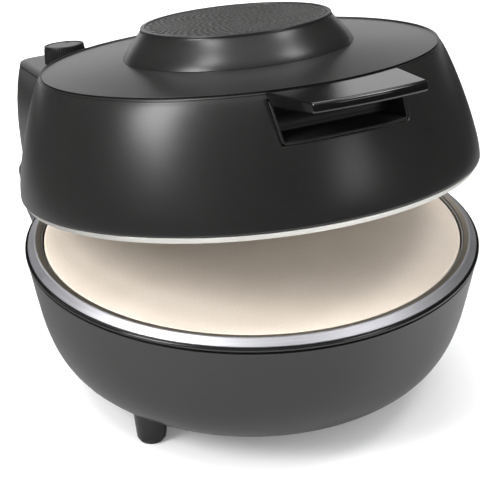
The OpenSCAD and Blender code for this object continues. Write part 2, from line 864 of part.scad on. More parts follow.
// Gloss insert that lines the finger recess, standing a little proud of the lid
module handle_bezel() {
    proud = 0.6;
    color([0.06, 0.06, 0.06])
        in_lid()
            difference() {
                intersection() {
                    recess_form(recess_wall);
                    lid_form(proud);
                }
                recess_form();
                handle_screw_holes();
            }
}

// Screws from inside the lid, through the bezel's back and into the end of the grip's neck
module handle_screws() {
    color([0.75, 0.75, 0.77])
        in_lid()
            for (x = handle_screw_x)
                translate([x, -recess_back + recess_wall, handle_screw_h])
                    rotate([-90, 0, 0])
                        screw(2.6, 1.6, handle_screw_r, handle_screw_l);
}

// Holes for those screws, deep enough for their ends
module handle_screw_holes() {
    for (x = handle_screw_x)
        translate([x, -recess_back - handle_screw_l, handle_screw_h])
            rotate([-90, 0, 0])
                cylinder(r = handle_screw_r, h = 2 * handle_screw_l, $fn = 32);
}

// The grip: a ledge that narrows to its lip, with a neck that reaches back into the recess
module handle_grip() {
    edge_r = 1.6;
    lip_low_h = grip_top_h - grip_lip_t;
    neck_w = grip_root_w - 7;
    neck_front = -grip_reach + 22;
    root = -crease_r + 12;
    lip_bow = 3;
    top = grip_top_h;
    // The lip's front edge bows forward by lip_bow over its width
    bow_r = (grip_front_w * grip_front_w + lip_bow * lip_bow) / (2 * lip_bow);
    bow_turn = asin(grip_front_w / bow_r);
    bow = arc_points([0, -grip_reach + bow_r], bow_r, -90 + bow_turn, -90 - bow_turn, 14);
    color([0.06, 0.06, 0.06])
        in_lid() {
            difference() {
                intersection() {
                    translate([0, 0, lip_low_h - 10])
                        linear_extrude(40)
                            polygon(concat(bow, [[-grip_root_w, root], [grip_root_w, root]]));
                    rotate([90, 0, 90])
                        translate([0, 0, -far / 2])
                            linear_extrude(far)
                                polygon(concat(
                                    arc_points([-grip_reach + edge_r, top - edge_r], edge_r, 90, 180, 5),
                                    arc_points([-grip_reach + edge_r, lip_low_h + edge_r], edge_r,
                                               180, 270, 5),
                                    [[root, lip_low_h - 3], [root, top]]));
                }
                lid_form(0.75);
            }
            difference() {
                translate([-neck_w, neck_front, recess_top_h - neck_t - seam])
                    cube([2 * neck_w, -recess_back - seam - neck_front, neck_t]);
                handle_screw_holes();
            }
        }
}

// Pale metal ring round the lid's lower edge, with a flange that the liner hangs from
module lid_ring() {
    low_r = lid_low_r - 3;
    flange_r = liner_low_r + sheet_t + seam;
    color([0.72, 0.7, 0.68])
        in_lid()
            rotate_extrude()
                polygon([[flange_r, ring_low_h], [low_r, ring_low_h],
                         [lid_low_r, lid_low_h - seam],
                         [lid_low_r - 1.6, lid_low_h - seam],
                         [low_r - 1.4, ring_low_h + 1.6],
                         [flange_r + sheet_t, ring_low_h + 1.6],
                         [flange_r + sheet_t, ring_low_h + 9],
                         [flange_r, ring_low_h + 9]]);
}

// Bright dish inside the lid, over the food
module lid_liner() {
    low = ring_low_h;
    color([0.66, 0.66, 0.66])
        in_lid()
            difference() {
                rotate_extrude()
                    polygon([[liner_low_r, low], [liner_low_r + sheet_t, low],
                             [liner_low_r + sheet_t, liner_bend_h],
                             [liner_top_r + sheet_t, liner_top_h],
                             [0, liner_top_h], [0, liner_top_h - sheet_t],
                             [liner_top_r, liner_top_h - sheet_t],
                             [liner_low_r, liner_bend_h - sheet_t / 2]]);
                rod_leg_holes(liner_top_h - 5, 10);
            }
}

// Flat plate above the liner that keeps its heat from the outer moulding
module lid_heat_shield() {
    color([0.7, 0.7, 0.7])
        in_lid()
            translate([0, 0, liner_top_h + shield_gap])
                difference() {
                    cylinder(r = liner_top_r - 6, h = sheet_t);
                    rod_leg_holes(-1, 5);
                }
    color([0.7, 0.7, 0.7])
        in_lid()
            for (turn = stud_turns)
                at_turn(turn, liner_top_r - 12)
                    translate([0, 0, liner_top_h])
                        cylinder(r = 4, h = shield_gap + sheet_t / 2, $fn = 32);
}

module upper_element() {
    color([0.35, 0.34, 0.33])
        in_lid()
            translate([0, 0, upper_rod_h])
                mirror([0, 0, 1])
                    heating_rod(rod_leg_l);
}

module upper_element_clips() {
    color([0.7, 0.7, 0.7])
        in_lid()
            for (turn = clip_turns)
                rotate([0, 0, turn])
                    translate([0, 0, liner_top_h - sheet_t])
                        mirror([0, 0, 1])
                            rod_clip(liner_top_h - sheet_t - upper_rod_h);
}

// The dome's side wall: a little rounded, with a rolled edge that holds the vent disc
module dome_cover() {
    bulge = 1.8;
    edge_r = 2.2;
    t = 2;
    side = [[dome_low_r, dome_low_h],
            [(dome_low_r * 2 + dome_top_r) / 3 + bulge, (dome_low_h * 2 + dome_top_h) / 3],
            [dome_top_r + edge_r + bulge, dome_top_h - 8],
            [dome_top_r + 0.6, dome_top_h - edge_r]];
    color([0.2, 0.2, 0.2])
        in_lid()
            difference() {
                rotate_extrude()
                    polygon(concat(
                        curve_points(side),
                        arc_points([dome_top_r + 0.6 - edge_r, dome_top_h - edge_r], edge_r, 0, 90, 6),
                        [[vent_r + seam, dome_top_h], [vent_r + seam, dome_top_h - vent_seat],
                         [vent_r - 2, dome_top_h - vent_seat], [vent_r - 2, dome_top_h - 4],
                         [dome_top_r - t, dome_top_h - 4]],
                        reversed(curve_points(side, t))));
                lid_form(seam);
            }
}

// Vent disc: holes laid out on a sunflower spiral, so that they are evenly spread
module vent_grille() {
    golden_turn = 137.5077640500378;
    color([0.16, 0.16, 0.16])
        in_lid()
            translate([0, 0, dome_top_h - vent_seat + seam])
                linear_extrude(vent_t)
                    difference() {
                        circle(vent_r);
                        for (i = [1 : vent_count]) {
                            r = vent_area_r * sqrt((i - 0.5) / vent_count);
                            rotate([0, 0, i * golden_turn])
                                translate([r, 0])
                                    circle(vent_hole_r, $fn = 16);
                        }
                    }
}

// ---- Upper rear housing, thermostat and knob ----

// The upper housing's shape, drawn in by inset and reaching lower by extra
module lid_housing_form(inset = 0, extra = 0) {
    top = housing_top_h - inset;
    low = housing_low_h;
    edge_r = 5;
    w = housing_w - inset;
    top_w = housing_top_w - inset;
    back = rear_y - inset;
    side_curve = [[w - 0.5, low], [w + 0.5, low + 28], [w - 4, low + 50], [top_w, top - edge_r]];
    flank = concat(
        [[w - 0.5, low - extra]], curve_points(side_curve),
        arc_points([top_w - edge_r, top - edge_r], edge_r, 0, 90, 6));
    back_curve = [[back, low + 6], [back, low + 30], [back - housing_back_lean + 1, top - 30],
                  [back - housing_back_lean, top - edge_r]];
    side = concat(
        [[0, low - extra], [back - 1.5, low - extra], [back - 1.5, low]],
        curve_points(back_curve),
        arc_points([back - edge_r - housing_back_lean, top - edge_r], edge_r, 0, 90, 6),
        [[0, top]]);
    housing_form(housing_plan(housing_w + 4, housing_corner_r, inset), flank, side, housing_flare);
}

// Room that a bracket's eye and foot need as the lid turns round them
module bracket_slot(side) {
    translate([side * hinge_x - eye_half - 0.3, hinge_y - 12, -far])
        cube([2 * eye_half + 0.6, far, far + hinge_h + knuckle_r + 1]);
}

// Upper rear housing, moulded to the back of the lid: open below, with bosses for its plate's
// screws and two knuckles for each hinge bracket
module upper_rear_housing() {
    boss_low = plate_h + plate_t;
    color([0.2, 0.2, 0.2])
        in_lid()
            difference() {
                union() {
                    difference() {
                        lid_housing_form();
                        lid_housing_form(wall, 5);
                    }
                    for (side = [-1, 1], hand = [-1, 1])
                        knuckle(side * hinge_x + hand * (eye_half + pin_hold / 2));
                    for (p = plate_screw_at)
                        translate([p[0], p[1], boss_low])
                            cylinder(r = plate_boss_r, h = housing_top_h - wall / 2 - boss_low,
                                     $fn = 32);
                }
                lid_form(seam);
                for (side = [-1, 1])
                    bracket_slot(side);
                for (side = [-1, 1])
                    translate([side * hinge_x, hinge_y, hinge_h])
                        rotate([0, 90, 0])
                            cylinder(r = pin_r + run_gap, h = 2 * pin_half + 1, center = true, $fn = 64);
                translate([knob_x, knob_y, 0])
                    cylinder(r = shaft_r + 0.4, h = far, $fn = 48);
                for (p = plate_screw_at)
                    translate([p[0], p[1], 0])
                        cylinder(r = plate_screw_r, h = boss_low + 12, $fn = 32);
            }
}

// One hinge knuckle and the web that joins it to the housing's back
module knuckle(x) {
    translate([x, 0, 0])
        rotate([90, 0, 90])
            linear_extrude(pin_hold, center = true) {
                translate([hinge_y, hinge_h])
                    circle(knuckle_r, $fn = 64);
                translate([hinge_y, hinge_h - knuckle_r + 1])
                    square([rear_y - wall / 2 - hinge_y, 2 * knuckle_r - 1]);
            }
}

module wiring_plate() {
    color([0.15, 0.15, 0.15])
        in_lid()
            difference() {
                intersection() {
                    translate([-far / 2, plate_front, plate_h])
                        cube([far, plate_back - plate_front, plate_t]);
                    linear_extrude(far)
                        polygon(housing_plan(housing_w - 1, housing_corner_r, wall + 1));
                }
                for (p = plate_screw_at)
                    translate([p[0], p[1], 0])
                        cylinder(r = plate_screw_r, h = far, $fn = 32);
            }
}

module plate_screws() {
    color([0.75, 0.75, 0.77])
        in_lid()
            for (p = plate_screw_at)
                translate([p[0], p[1], plate_h])
                    mirror([0, 0, 1])
                        screw(3, 1.8, plate_screw_r, 10);
}

// Thermostat under the housing's top
module thermostat() {
    top = housing_top_h - wall;
    color([0.85, 0.83, 0.78])
        in_lid()
            translate([knob_x, knob_y, 0])
                difference() {
                    union() {
                        translate([0, 0, top - 2])
                            cylinder(r = 9, h = 2, $fn = 48);
                        translate([0, 0, top - 20])
                            cylinder(r = 13, h = 18, $fn = 48);
                    }
                    translate([0, 0, top - 14])
                        cylinder(r = shaft_r + run_gap, h = 20, $fn = 48);
                }
}

module thermostat_shaft() {
    low = housing_top_h - wall - 13.5;
    color([0.8, 0.8, 0.82])
        in_lid()
            translate([knob_x, knob_y, low])
                cylinder(r = shaft_r, h = knob_low_h + knob_h - inlay_t - knob_wall - low, $fn = 48);
}

// Ribbed knob: hollow skirt, a hub on the shaft and a shallow seat for the inlay
module control_knob() {
    rib_r = 0.5;
    top_r = knob_r - 1;
    hub_r = shaft_r + 2.5;
    inner_h = knob_h - inlay_t - knob_wall;
    color([0.08, 0.08, 0.08])
        in_lid()
            translate([knob_x, knob_y, knob_low_h])
                difference() {
                    union() {
                        cylinder(r1 = knob_r, r2 = top_r, h = knob_h, $fn = 96);
                        for (i = [0 : knob_ribs - 1])
                            rotate([0, 0, i * 360 / knob_ribs])
                                translate([knob_r, 0, 0])
                                    rotate([0, -atan((knob_r - top_r) / knob_h), 0])
                                        cylinder(r = rib_r, h = knob_h - 2, $fn = 16);
                    }
                    translate([0, 0, -1])
                        difference() {
                            cylinder(r = top_r - knob_wall, h = inner_h + 1, $fn = 96);
                            cylinder(r = hub_r, h = far, $fn = 48);
                        }
                    translate([0, 0, -1])
                        cylinder(r = shaft_r, h = inner_h + 1, $fn = 48);
                    translate([0, 0, knob_h - inlay_t])
                        cylinder(r = inlay_r, h = far, $fn = 96);
                }
}

// Pale disc in the knob's top, with a notch that is its pointer
module knob_inlay() {
    pointer_w = 2.4;
    pointer_l = 5;
    color([0.7, 0.7, 0.7])
        in_lid()
            translate([knob_x, knob_y, knob_low_h + knob_h - inlay_t])
                difference() {
                    cylinder(r = inlay_r, h = inlay_t, $fn = 96);
                    rotate([0, 0, knob_pointer_turn])
                        translate([inlay_r - pointer_l, -pointer_w / 2, -1])
                            cube([pointer_l + 1, pointer_w, inlay_t + 2]);
                }
}

bowl_shell();
deck_ring();
reflector_pan();
lower_element();
lower_element_clips();
heat_shield();
pan_studs();
thermal_cutout();
feet();
foot_pads();
foot_screws();
rear_base_housing();
terminal_block();
cord_bush();
hinge_brackets();
hinge_pins();
bracket_screws();
baking_stone();
lid_shell();
lid_ring();
lid_liner();
lid_heat_shield();
upper_element();
upper_element_clips();
dome_cover();
vent_grille();
handle_bezel();
handle_grip();
handle_screws();
upper_rear_housing();
wiring_plate();
plate_screws();
thermostat();
thermostat_shaft();
control_knob();
knob_inlay();
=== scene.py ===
"""Electric pizza maker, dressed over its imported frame: pieces, finishes, floor, light, camera."""

import bmesh
import bpy
import numpy as np
from mathutils import Matrix, Vector
from mathutils.geometry import delaunay_2d_cdt


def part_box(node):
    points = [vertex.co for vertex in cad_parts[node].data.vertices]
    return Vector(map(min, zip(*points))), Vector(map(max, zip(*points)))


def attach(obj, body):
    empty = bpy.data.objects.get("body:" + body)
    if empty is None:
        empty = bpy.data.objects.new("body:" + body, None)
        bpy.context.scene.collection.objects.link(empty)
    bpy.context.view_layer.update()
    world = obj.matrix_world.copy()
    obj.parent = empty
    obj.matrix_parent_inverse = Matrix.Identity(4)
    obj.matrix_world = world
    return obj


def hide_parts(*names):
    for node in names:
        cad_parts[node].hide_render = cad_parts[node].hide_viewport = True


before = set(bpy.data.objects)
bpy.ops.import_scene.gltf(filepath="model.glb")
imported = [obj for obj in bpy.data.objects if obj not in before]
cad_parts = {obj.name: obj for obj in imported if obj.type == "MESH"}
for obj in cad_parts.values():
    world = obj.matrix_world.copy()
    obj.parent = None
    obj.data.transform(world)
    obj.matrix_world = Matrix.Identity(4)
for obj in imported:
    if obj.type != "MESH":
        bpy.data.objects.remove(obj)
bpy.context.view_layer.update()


# ---- Camera ----
# The photograph was taken from the left of the handle and above it, with a long lens. The camera's
# place is counted from the bowl's upright axis.
def camera_turned(azimuth, elevation, roll):
    """The camera's three axes as columns: right, up, and back from what it looks at.

    Back points from the object to the camera. Right is level before the roll, and the roll turns
    right and up together about back.
    """
    back = np.array([np.sin(azimuth) * np.cos(elevation), -np.cos(azimuth) * np.cos(elevation),
                     np.sin(elevation)])
    right = np.array([np.cos(azimuth), np.sin(azimuth), 0.0])
    up = np.cross(back, right)
    return np.stack([right * np.cos(roll) + up * np.sin(roll),
                     up * np.cos(roll) - right * np.sin(roll), back], axis=1)


bowl_low, bowl_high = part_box("bowl_shell")
axis_y = (bowl_low[1] + bowl_high[1]) / 2
camera = bpy.data.objects.new("camera", bpy.data.cameras.new("camera"))
camera.data.lens = 104.11
camera.data.sensor_width = 36.0
camera.data.clip_start = 0.05
camera_at = (-0.437890, axis_y - 0.860508, 0.606571)
camera_axes = camera_turned(azimuth=np.radians(-26.8785), elevation=np.radians(27.7187),
                            roll=np.radians(-0.4107))
camera.matrix_world = Matrix.Translation(camera_at) @ Matrix(camera_axes.tolist()).to_4x4()
bpy.context.scene.collection.objects.link(camera)
bpy.context.scene.camera = camera
bpy.context.scene.view_settings.view_transform = "Standard"


# ---- Floor, backdrop and light ----
# A white studio floor that runs out to a white backdrop. A large soft box hangs overhead and
# behind, two more stand at the left and two at the right. Gloss sees a dark room with a pale far
# end and a pale ceiling, as the photograph's gloss does.
class Socket:
    """One output in a node tree; arithmetic on it adds Math nodes to the tree."""

    def __init__(self, tree, output=None):
        self.tree = tree
        self.output = output

    def node(self, kind, sockets=None, out=0, **settings):
        """Add a node of this kind with these settings; each socket takes a value or a Socket."""
        node = self.tree.nodes.new("ShaderNode" + kind)
        for name, value in settings.items():
            setattr(node, name, value)
        for key, value in (sockets or {}).items():
            if isinstance(value, Socket):
                self.tree.links.new(value.output, node.inputs[key])
            else:
                node.inputs[key].default_value = value
        return Socket(self.tree, node.outputs[out])

    def math(self, operation, *values):
        """A Math node over these values."""
        return self.node("Math", dict(enumerate(values)), operation=operation)

    def __add__(self, other):
        return self.math("ADD", self, other)

    def __radd__(self, other):
        return self.math("ADD", other, self)

    def __sub__(self, other):
        return self.math("SUBTRACT", self, other)

    def __rsub__(self, other):
        return self.math("SUBTRACT", other, self)

    def __mul__(self, other):
        return self.math("MULTIPLY", self, other)

    def __rmul__(self, other):
        return self.math("MULTIPLY", other, self)

    def __truediv__(self, other):
        return self.math("DIVIDE", self, other)

    def ramp(self, low, high, at_low=0.0, at_high=1.0):
        """This value carried smoothly from at_low at low to at_high at high."""
        return self.node("MapRange", {0: self, 1: low, 2: high, 3: at_low, 4: at_high},
                         interpolation_type="SMOOTHSTEP")

    def mix(self, one, two):
        """A colour between two others: one where this value is 0, two where it is 1."""
        return self.node("Mix", {0: self, 6: one, 7: two}, out=2, data_type="RGBA")

    def parts(self):
        """The three numbers of a vector."""
        split = self.node("SeparateXYZ", {0: self})
        return [Socket(self.tree, split.output.node.outputs[i]) for i in range(3)]


def grey(level):
    """A neutral colour of this level."""
    return (level, level, level, 1.0)


def material(name, **constants):
    """A new material; constants go straight onto its shader's sockets."""
    made = bpy.data.materials.new(name)
    made.use_nodes = True
    shader = made.node_tree.nodes["Principled BSDF"]
    for key, value in constants.items():
        shader.inputs[key.replace("_", " ")].default_value = value
    return made, shader, Socket(made.node_tree)


def drive(shader, **sockets):
    """Link these outputs to the shader's sockets of those names."""
    for key, value in sockets.items():
        value.tree.links.new(value.output, shader.inputs[key.replace("_", " ")])


def ray_kinds(tree):
    """1 for a ray from the camera, and 1 for a ray that a glossy surface sent out."""
    rays = tree.nodes.new("ShaderNodeLightPath")
    return Socket(tree, rays.outputs["Is Camera Ray"]), Socket(tree, rays.outputs["Is Glossy Ray"])


def beside_reflected_dark_patch(aside):
    """0 where reflections see a dark patch at the back, a little right of the middle, and 1 beside
    it.

    aside is the share of the way that points to the right.
    """
    return 1 - aside.ramp(0.36, 0.41) * aside.ramp(0.475, 0.492, 1.0, 0.0)


def floor_material():
    """White paper with a trace of tooth that meets the white backdrop without an edge.

    The camera sees it a little lighter than it is lit, which keeps its shadow pale. To reflections
    its colour is a painted reflection: a dark floor with a painted pale patch in front of the
    object and a painted pale far end beside the dark patch.
    """
    camera_lift = 0.12
    reflected_floor_shade = 0.03
    made, shader, nodes = material("studio_floor", Roughness=0.9, Specular_IOR_Level=0.1,
                                   Emission_Strength=1.0)
    seen, glossy = ray_kinds(nodes.tree)
    where = nodes.node("TexCoord", out=3)
    tooth = nodes.node("TexNoise", {"Vector": where, "Scale": 900.0, "Detail": 3.0})
    x, y, _ = where.parts()
    reach = nodes.math("SQRT", x * x + y * y)
    # painted reflection: a pale patch in front of the object that only glossy rays see
    reflected_pale_patch = reach.ramp(0.45, 0.90, 1.0, 0.0) * y.ramp(-0.3, 0.15, 0.82, 0.26)
    reflected_far_end = y.ramp(0.9, 2.0) * x.ramp(-1.0, 0.0) * beside_reflected_dark_patch(x / reach)
    paper = tooth.mix(grey(0.92), grey(0.95))
    # Painted reflection: glossy rays see a dark floor with pale patches in place of the white
    # paper.
    drive(shader,
          Base_Color=glossy.mix(paper, reflected_floor_shade + reflected_pale_patch + 0.95 * reflected_far_end),
          Emission_Color=seen.mix(grey(0.0), grey(camera_lift)))
    return made


def floor_sheet():
    """A floor 12 m across: a grid whose far side lifts gently into the backdrop."""
    count = 61
    across, along = np.meshgrid(np.linspace(-6, 6, count), np.linspace(-4, 8, count))
    rise = np.clip((along - 5.0) / 3.0, 0, 1) ** 2 * 1.5
    points = np.stack([across, along, rise], axis=-1).reshape(-1, 3)
    start = (np.arange(count - 1)[:, None] * count + np.arange(count - 1)).reshape(-1)
    faces = np.stack([start, start + 1, start + count + 1, start + count], axis=1)
    mesh = bpy.data.meshes.new("studio_floor")
    mesh.from_pydata(points.tolist(), [], faces.tolist())
    return mesh


floor = bpy.data.objects.new("studio_floor", floor_sheet())
floor.data.materials.append(floor_material())
bpy.context.scene.collection.objects.link(floor)


def soft_box(name, place, size, power, aim=(0.0, 0.0, 0.15)):
    """A rectangular area light at place that points at aim; size is its width and height."""
    lamp = bpy.data.lights.new(name, "AREA")
    lamp.shape = "RECTANGLE"
    lamp.size, lamp.size_y = size
    lamp.energy = power
    light = bpy.data.objects.new(name, lamp)
    turn = (Vector(place) - Vector(aim)).to_track_quat("Z", "Y")
    light.matrix_world = Matrix.Translation(place) @ turn.to_matrix().to_4x4()
    bpy.context.scene.collection.objects.link(light)


soft_box("overhead", (0.2, 1.0, 1.9), (2.2, 1.4), 24.0)
soft_box("left_side", (-1.46, -0.27, 1.20), (0.60, 0.75), 24.0)
soft_box("left_high", (-0.80, -0.07, 1.60), (0.35, 0.45), 7.0)
soft_box("right_high", (0.75, -0.50, 1.50), (0.40, 0.40), 5.5)
soft_box("front_right", (0.74, -1.60, 0.85), (0.55, 0.45), 2.5)


def studio_air():
    """White to the camera. Rough surfaces get a plain light from all round, a little more from the
    front. Gloss sees a dark room with a bright strip low at the back and a bright ceiling.
    """
    strip, ceiling, dark_wall = 2.1, 1.0, 0.06
    world = bpy.data.worlds.new("studio")
    world.use_nodes = True
    bpy.context.scene.world = world
    nodes = Socket(world.node_tree)
    seen, glossy = ray_kinds(world.node_tree)
    side, along, up = nodes.node("TexCoord", out=0).parts()
    back = (along.ramp(0.70, 0.86) * side.ramp(-0.40, 0.0) * up.ramp(0.05, 0.11, 1.0, 0.0)
            * beside_reflected_dark_patch(side))
    shine = nodes.math("MAXIMUM", strip * back, up.ramp(0.70, 0.92, dark_wall, ceiling))
    plain = along.ramp(-0.9, 0.4, 1.12, 0.75)
    level = seen.mix(glossy.mix(plain, shine), grey(1.0))
    background = world.node_tree.nodes["Background"]
    world.node_tree.links.new(level.output, background.inputs["Color"])


studio_air()


# ---- Bowl ----
# The deep lower shell: one charcoal moulding with a fine satin texture, a rolled glossy rim, and a
# row of nine air slots in its flat bottom.
def satin_moulding(name, colour, roughness, grain=0.00005, scale=1700.0):
    """Fine moulded texture over a colour that drifts a little, with faint smears in its sheen."""
    made, shader, nodes = material(name, Specular_IOR_Level=0.4)
    where = nodes.node("TexCoord", out=3)
    fine = nodes.node("TexNoise",
                      {"Vector": where, "Scale": scale, "Detail": 4.0, "Roughness": 0.6})
    broad = nodes.node("TexNoise", {"Vector": where, "Scale": 14.0, "Detail": 3.0})
    light = tuple(min(1.0, c * 1.14) for c in colour) + (1,)
    dark = tuple(c * 0.88 for c in colour) + (1,)
    drive(shader,
          Base_Color=(0.6 * broad + 0.4 * fine).ramp(0.3, 0.7).mix(dark, light),
          Roughness=roughness + 0.06 * (broad - 0.5) + 0.05 * (fine - 0.5),
          Normal=nodes.node("Bump", {"Height": fine, "Strength": 0.3, "Distance": grain}))
    return made


def gloss_moulding():
    """Polished black plastic with a very faint orange peel and a few wiped streaks."""
    made, shader, nodes = material("gloss_black", Specular_IOR_Level=0.5)
    where = nodes.node("TexCoord", out=3)
    peel = nodes.node("TexNoise", {"Vector": where, "Scale": 160.0, "Detail": 2.0})
    wipe = nodes.node("TexNoise", {"Vector": where, "Scale": 28.0, "Detail": 4.0})
    drive(shader,
          Base_Color=wipe.mix(grey(0.003), grey(0.005)),
          Roughness=0.06 + 0.07 * wipe,
          Normal=nodes.node("Bump", {"Height": peel, "Strength": 0.06, "Distance": 0.0002}))
    return made


charcoal = satin_moulding("satin_black", (0.0125, 0.0123, 0.0120), 0.29)
gloss = gloss_moulding()
rim_height = 0.115


def standing(points):
    """Points in mm, counted from the bowl's axis and its rim, brought to the frame in metres."""
    return np.asarray(points) * 0.001 + (0.0, axis_y, rim_height)


def rounded(corners, steps=5, support=0.4):
    """A polyline through corners (across, up, radius), each corner rounded by an arc of its radius.

    An arc touches both legs at radius / tan(half the angle between them), and its middle lies on
    the line that halves that angle. Each long straight run gets two more points near its ends,
    which keeps the smooth shading even along it.
    """
    where = np.array([corner[:2] for corner in corners], float)
    path = [where[:1]]
    for before, here, after, corner in zip(where[:-2], where[1:-1], where[2:], corners[1:-1]):
        legs = np.stack([before - here, after - here])
        spans = np.linalg.norm(legs, axis=1)
        ways = legs / spans[:, None]
        half = np.arccos(np.clip(ways[0] @ ways[1], -1, 1)) / 2
        if corner[2] == 0 or half > 1.55:
            path.append(here[None])
            continue
        cut = min(corner[2] / np.tan(half), 0.45 * spans.min())
        radius = cut * np.tan(half)
        middle = here + ways.sum(axis=0) / np.linalg.norm(ways.sum(axis=0)) * radius / np.sin(half)
        first, last = here + ways * cut - middle
        sweep = np.pi - 2 * half
        share = np.linspace(0, 1, steps + 1)[:, None]
        path.append(middle + (np.sin((1 - share) * sweep) * first + np.sin(share * sweep) * last)
                    / np.sin(sweep))
    path = np.concatenate(path + [where[-1:]])
    step = np.diff(path, axis=0)
    span = np.linalg.norm(step, axis=1)[:, None]
    near = path[:-1] + step / span * support
    far = path[1:] - step / span * support
    wide = span[:, 0] > 5 * support
    runs = np.flatnonzero(wide)
    order = np.concatenate([np.arange(len(path)), runs + 0.3, runs + 0.6])
    return np.concatenate([path, near[wide], far[wide]])[np.argsort(order)]


def curve(a, b, c, d, steps):
    """Points on the cubic curve with these control points: its first point a, its last point d."""
    share = np.linspace(0, 1, steps + 1)[:, None]
    a, b, c, d = map(np.array, (a, b, c, d))
    return ((1 - share) ** 3 * a + 3 * (1 - share) ** 2 * share * b
            + 3 * (1 - share) * share ** 2 * c + share ** 3 * d)


def turned(profile, turns=192):
    """A profile of (radius r, height z) carried round the axis: (r sin t, -r cos t, z)."""
    turn = np.linspace(0, 2 * np.pi, turns, endpoint=False)
    return np.stack([profile[:, :1] * np.sin(turn), -profile[:, :1] * np.cos(turn),
                     profile[:, 1:] + 0 * turn], axis=-1)


def quads(rows, columns, loop_rows=False, loop_columns=True):
    """Faces between neighbouring rows and columns of a grid of points, closed where asked."""
    index = np.arange(rows * columns).reshape(rows, columns)
    if loop_rows:
        index = np.concatenate([index, index[:1]])
    if loop_columns:
        index = np.concatenate([index, index[:, :1]], axis=1)
    return np.stack([index[:-1, :-1], index[:-1, 1:], index[1:, 1:], index[1:, :-1]], axis=-1)


def piece(name, points, faces, finish, node, body, wall=0.0):
    """A new piece that stands for a CAD node: points in metres, faces as rows of point numbers.

    Points that coincide, as at a pole, become one. The faces are turned over if the volume that
    they enclose, counted from the origin, comes out negative, so that they point outwards. A wall
    gives the skin a thickness in metres on its inner side.
    """
    mesh = bpy.data.meshes.new(name)
    mesh.from_pydata(points.reshape(-1, 3).tolist(), [], [list(face) for face in faces])
    shape = bmesh.new()
    shape.from_mesh(mesh)
    bmesh.ops.remove_doubles(shape, verts=shape.verts, dist=2e-7)
    if shape.calc_volume(signed=True) < 0:
        bmesh.ops.reverse_faces(shape, faces=shape.faces)
    shape.to_mesh(mesh)
    shape.free()
    mesh.polygons.foreach_set("use_smooth", [True] * len(mesh.polygons))
    mesh.set_sharp_from_angle(angle=np.radians(38))
    mesh.materials.append(finish)
    made = bpy.data.objects.new(name, mesh)
    bpy.context.scene.collection.objects.link(made)
    if wall:
        thick = made.modifiers.new("wall", "SOLIDIFY")
        thick.thickness = wall
        thick.offset = -1.0
    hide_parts(node)
    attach(made, body)


def turned_piece(name, profile, place, finish, node, body, turns=192):
    """A piece turned on the axis from a closed profile in mm."""
    points = place(turned(profile, turns))
    faces = quads(*points.shape[:2], loop_rows=True).reshape(-1, 4)
    piece(name, points, faces, finish, node, body)


def inset_path(path, depth):
    """Each point moved by depth to the left of the way the path runs there."""
    way = np.gradient(path, axis=0)
    way /= np.linalg.norm(way, axis=1)[:, None]
    return path + depth * np.stack([-way[:, 1], way[:, 0]], axis=1)


bowl_bottom = -101.0
bowl_wall = 2.5
bottom_r = 80.0
bowl_curve = curve((168.75, 0), (157.3, -56), (163, bowl_bottom), (92, bowl_bottom), 40)
bowl_outer = bowl_curve[bowl_curve[:, 1] < -1.9]
bowl_edge = [(bottom_r, bowl_bottom), (bottom_r, bowl_bottom + bowl_wall)]
bowl_inner = inset_path(bowl_outer, -bowl_wall)[::-1]
turned_piece("bowl", np.concatenate([bowl_outer, bowl_edge, bowl_inner]), standing, charcoal,
             "bowl_shell", "base", 256)
turned_piece("bowl_rim", rounded([
    (167.0, -2.2, 0), (168.55, -2.2, 0.4), (168.6, 0, 1.4), (165.6, 0, 1.3), (165.6, -2.2, 0.5),
    (167.0, -2.2, 0)]), standing, gloss, "bowl_shell", "base", 256)


def pierced(outline, holes, inside):
    """A flat plate: triangles between an outline and the holes' outlines, loops of (x, y).

    inside tells which middles of triangles lie in the plate, and only those are kept.
    """
    loops = [outline] + list(holes)
    starts = np.cumsum([0] + [len(loop) for loop in loops])
    edges = [(start + i, start + (i + 1) % len(loop))
             for start, loop in zip(starts, loops) for i in range(len(loop))]
    flat = [Vector(p) for loop in loops for p in loop.tolist()]
    points, _, faces, *_ = delaunay_2d_cdt(flat, edges, [], 0, 1e-7)
    points = np.array([tuple(p) for p in points])
    faces = np.array(faces)
    return points, faces[inside(points[faces].mean(axis=1))]


def ring(radius, count):
    """A loop of count points on a circle about the origin."""
    turn = np.linspace(0, 2 * np.pi, count, endpoint=False)
    return radius * np.stack([np.cos(turn), np.sin(turn)], axis=1)


slot_half, slot_reach = 1.5, 17.0
slot_at = np.arange(-4, 5) * 9.0
slot_loop = np.array([(-1, -1), (1, -1), (1, 1), (-1, 1)]) * (slot_half, slot_reach)


def bottom_metal(p):
    """Whether points of the bowl's bottom lie in its disc and outside every air slot."""
    beside = np.abs(p[:, 0, None] - slot_at).min(axis=1) > slot_half
    return ((np.abs(p[:, 1]) > slot_reach) | beside) & (np.hypot(*p.T) < bottom_r + 0.1)


bottom, bottom_faces = pierced(
    ring(bottom_r + 0.1, 120), [slot_loop + (at, 0) for at in slot_at], bottom_metal)
bottom = np.concatenate([bottom, np.full((len(bottom), 1), bowl_bottom)], axis=1)
piece("bowl_floor", standing(bottom), bottom_faces[:, ::-1], charcoal, "bowl_shell", "base",
      wall=0.001 * bowl_wall)


# ---- Feet ----
# Four conical feet in gloss black, screwed up into the bowl from below; each stands on a rubber
# pad. The front pair shows under the bowl, and the rear pair sits closer together.
def bowl_height(radius):
    """Height of the bowl's outer wall at this radius."""
    return np.interp(radius, bowl_curve[::-1, 0], bowl_curve[::-1, 1])


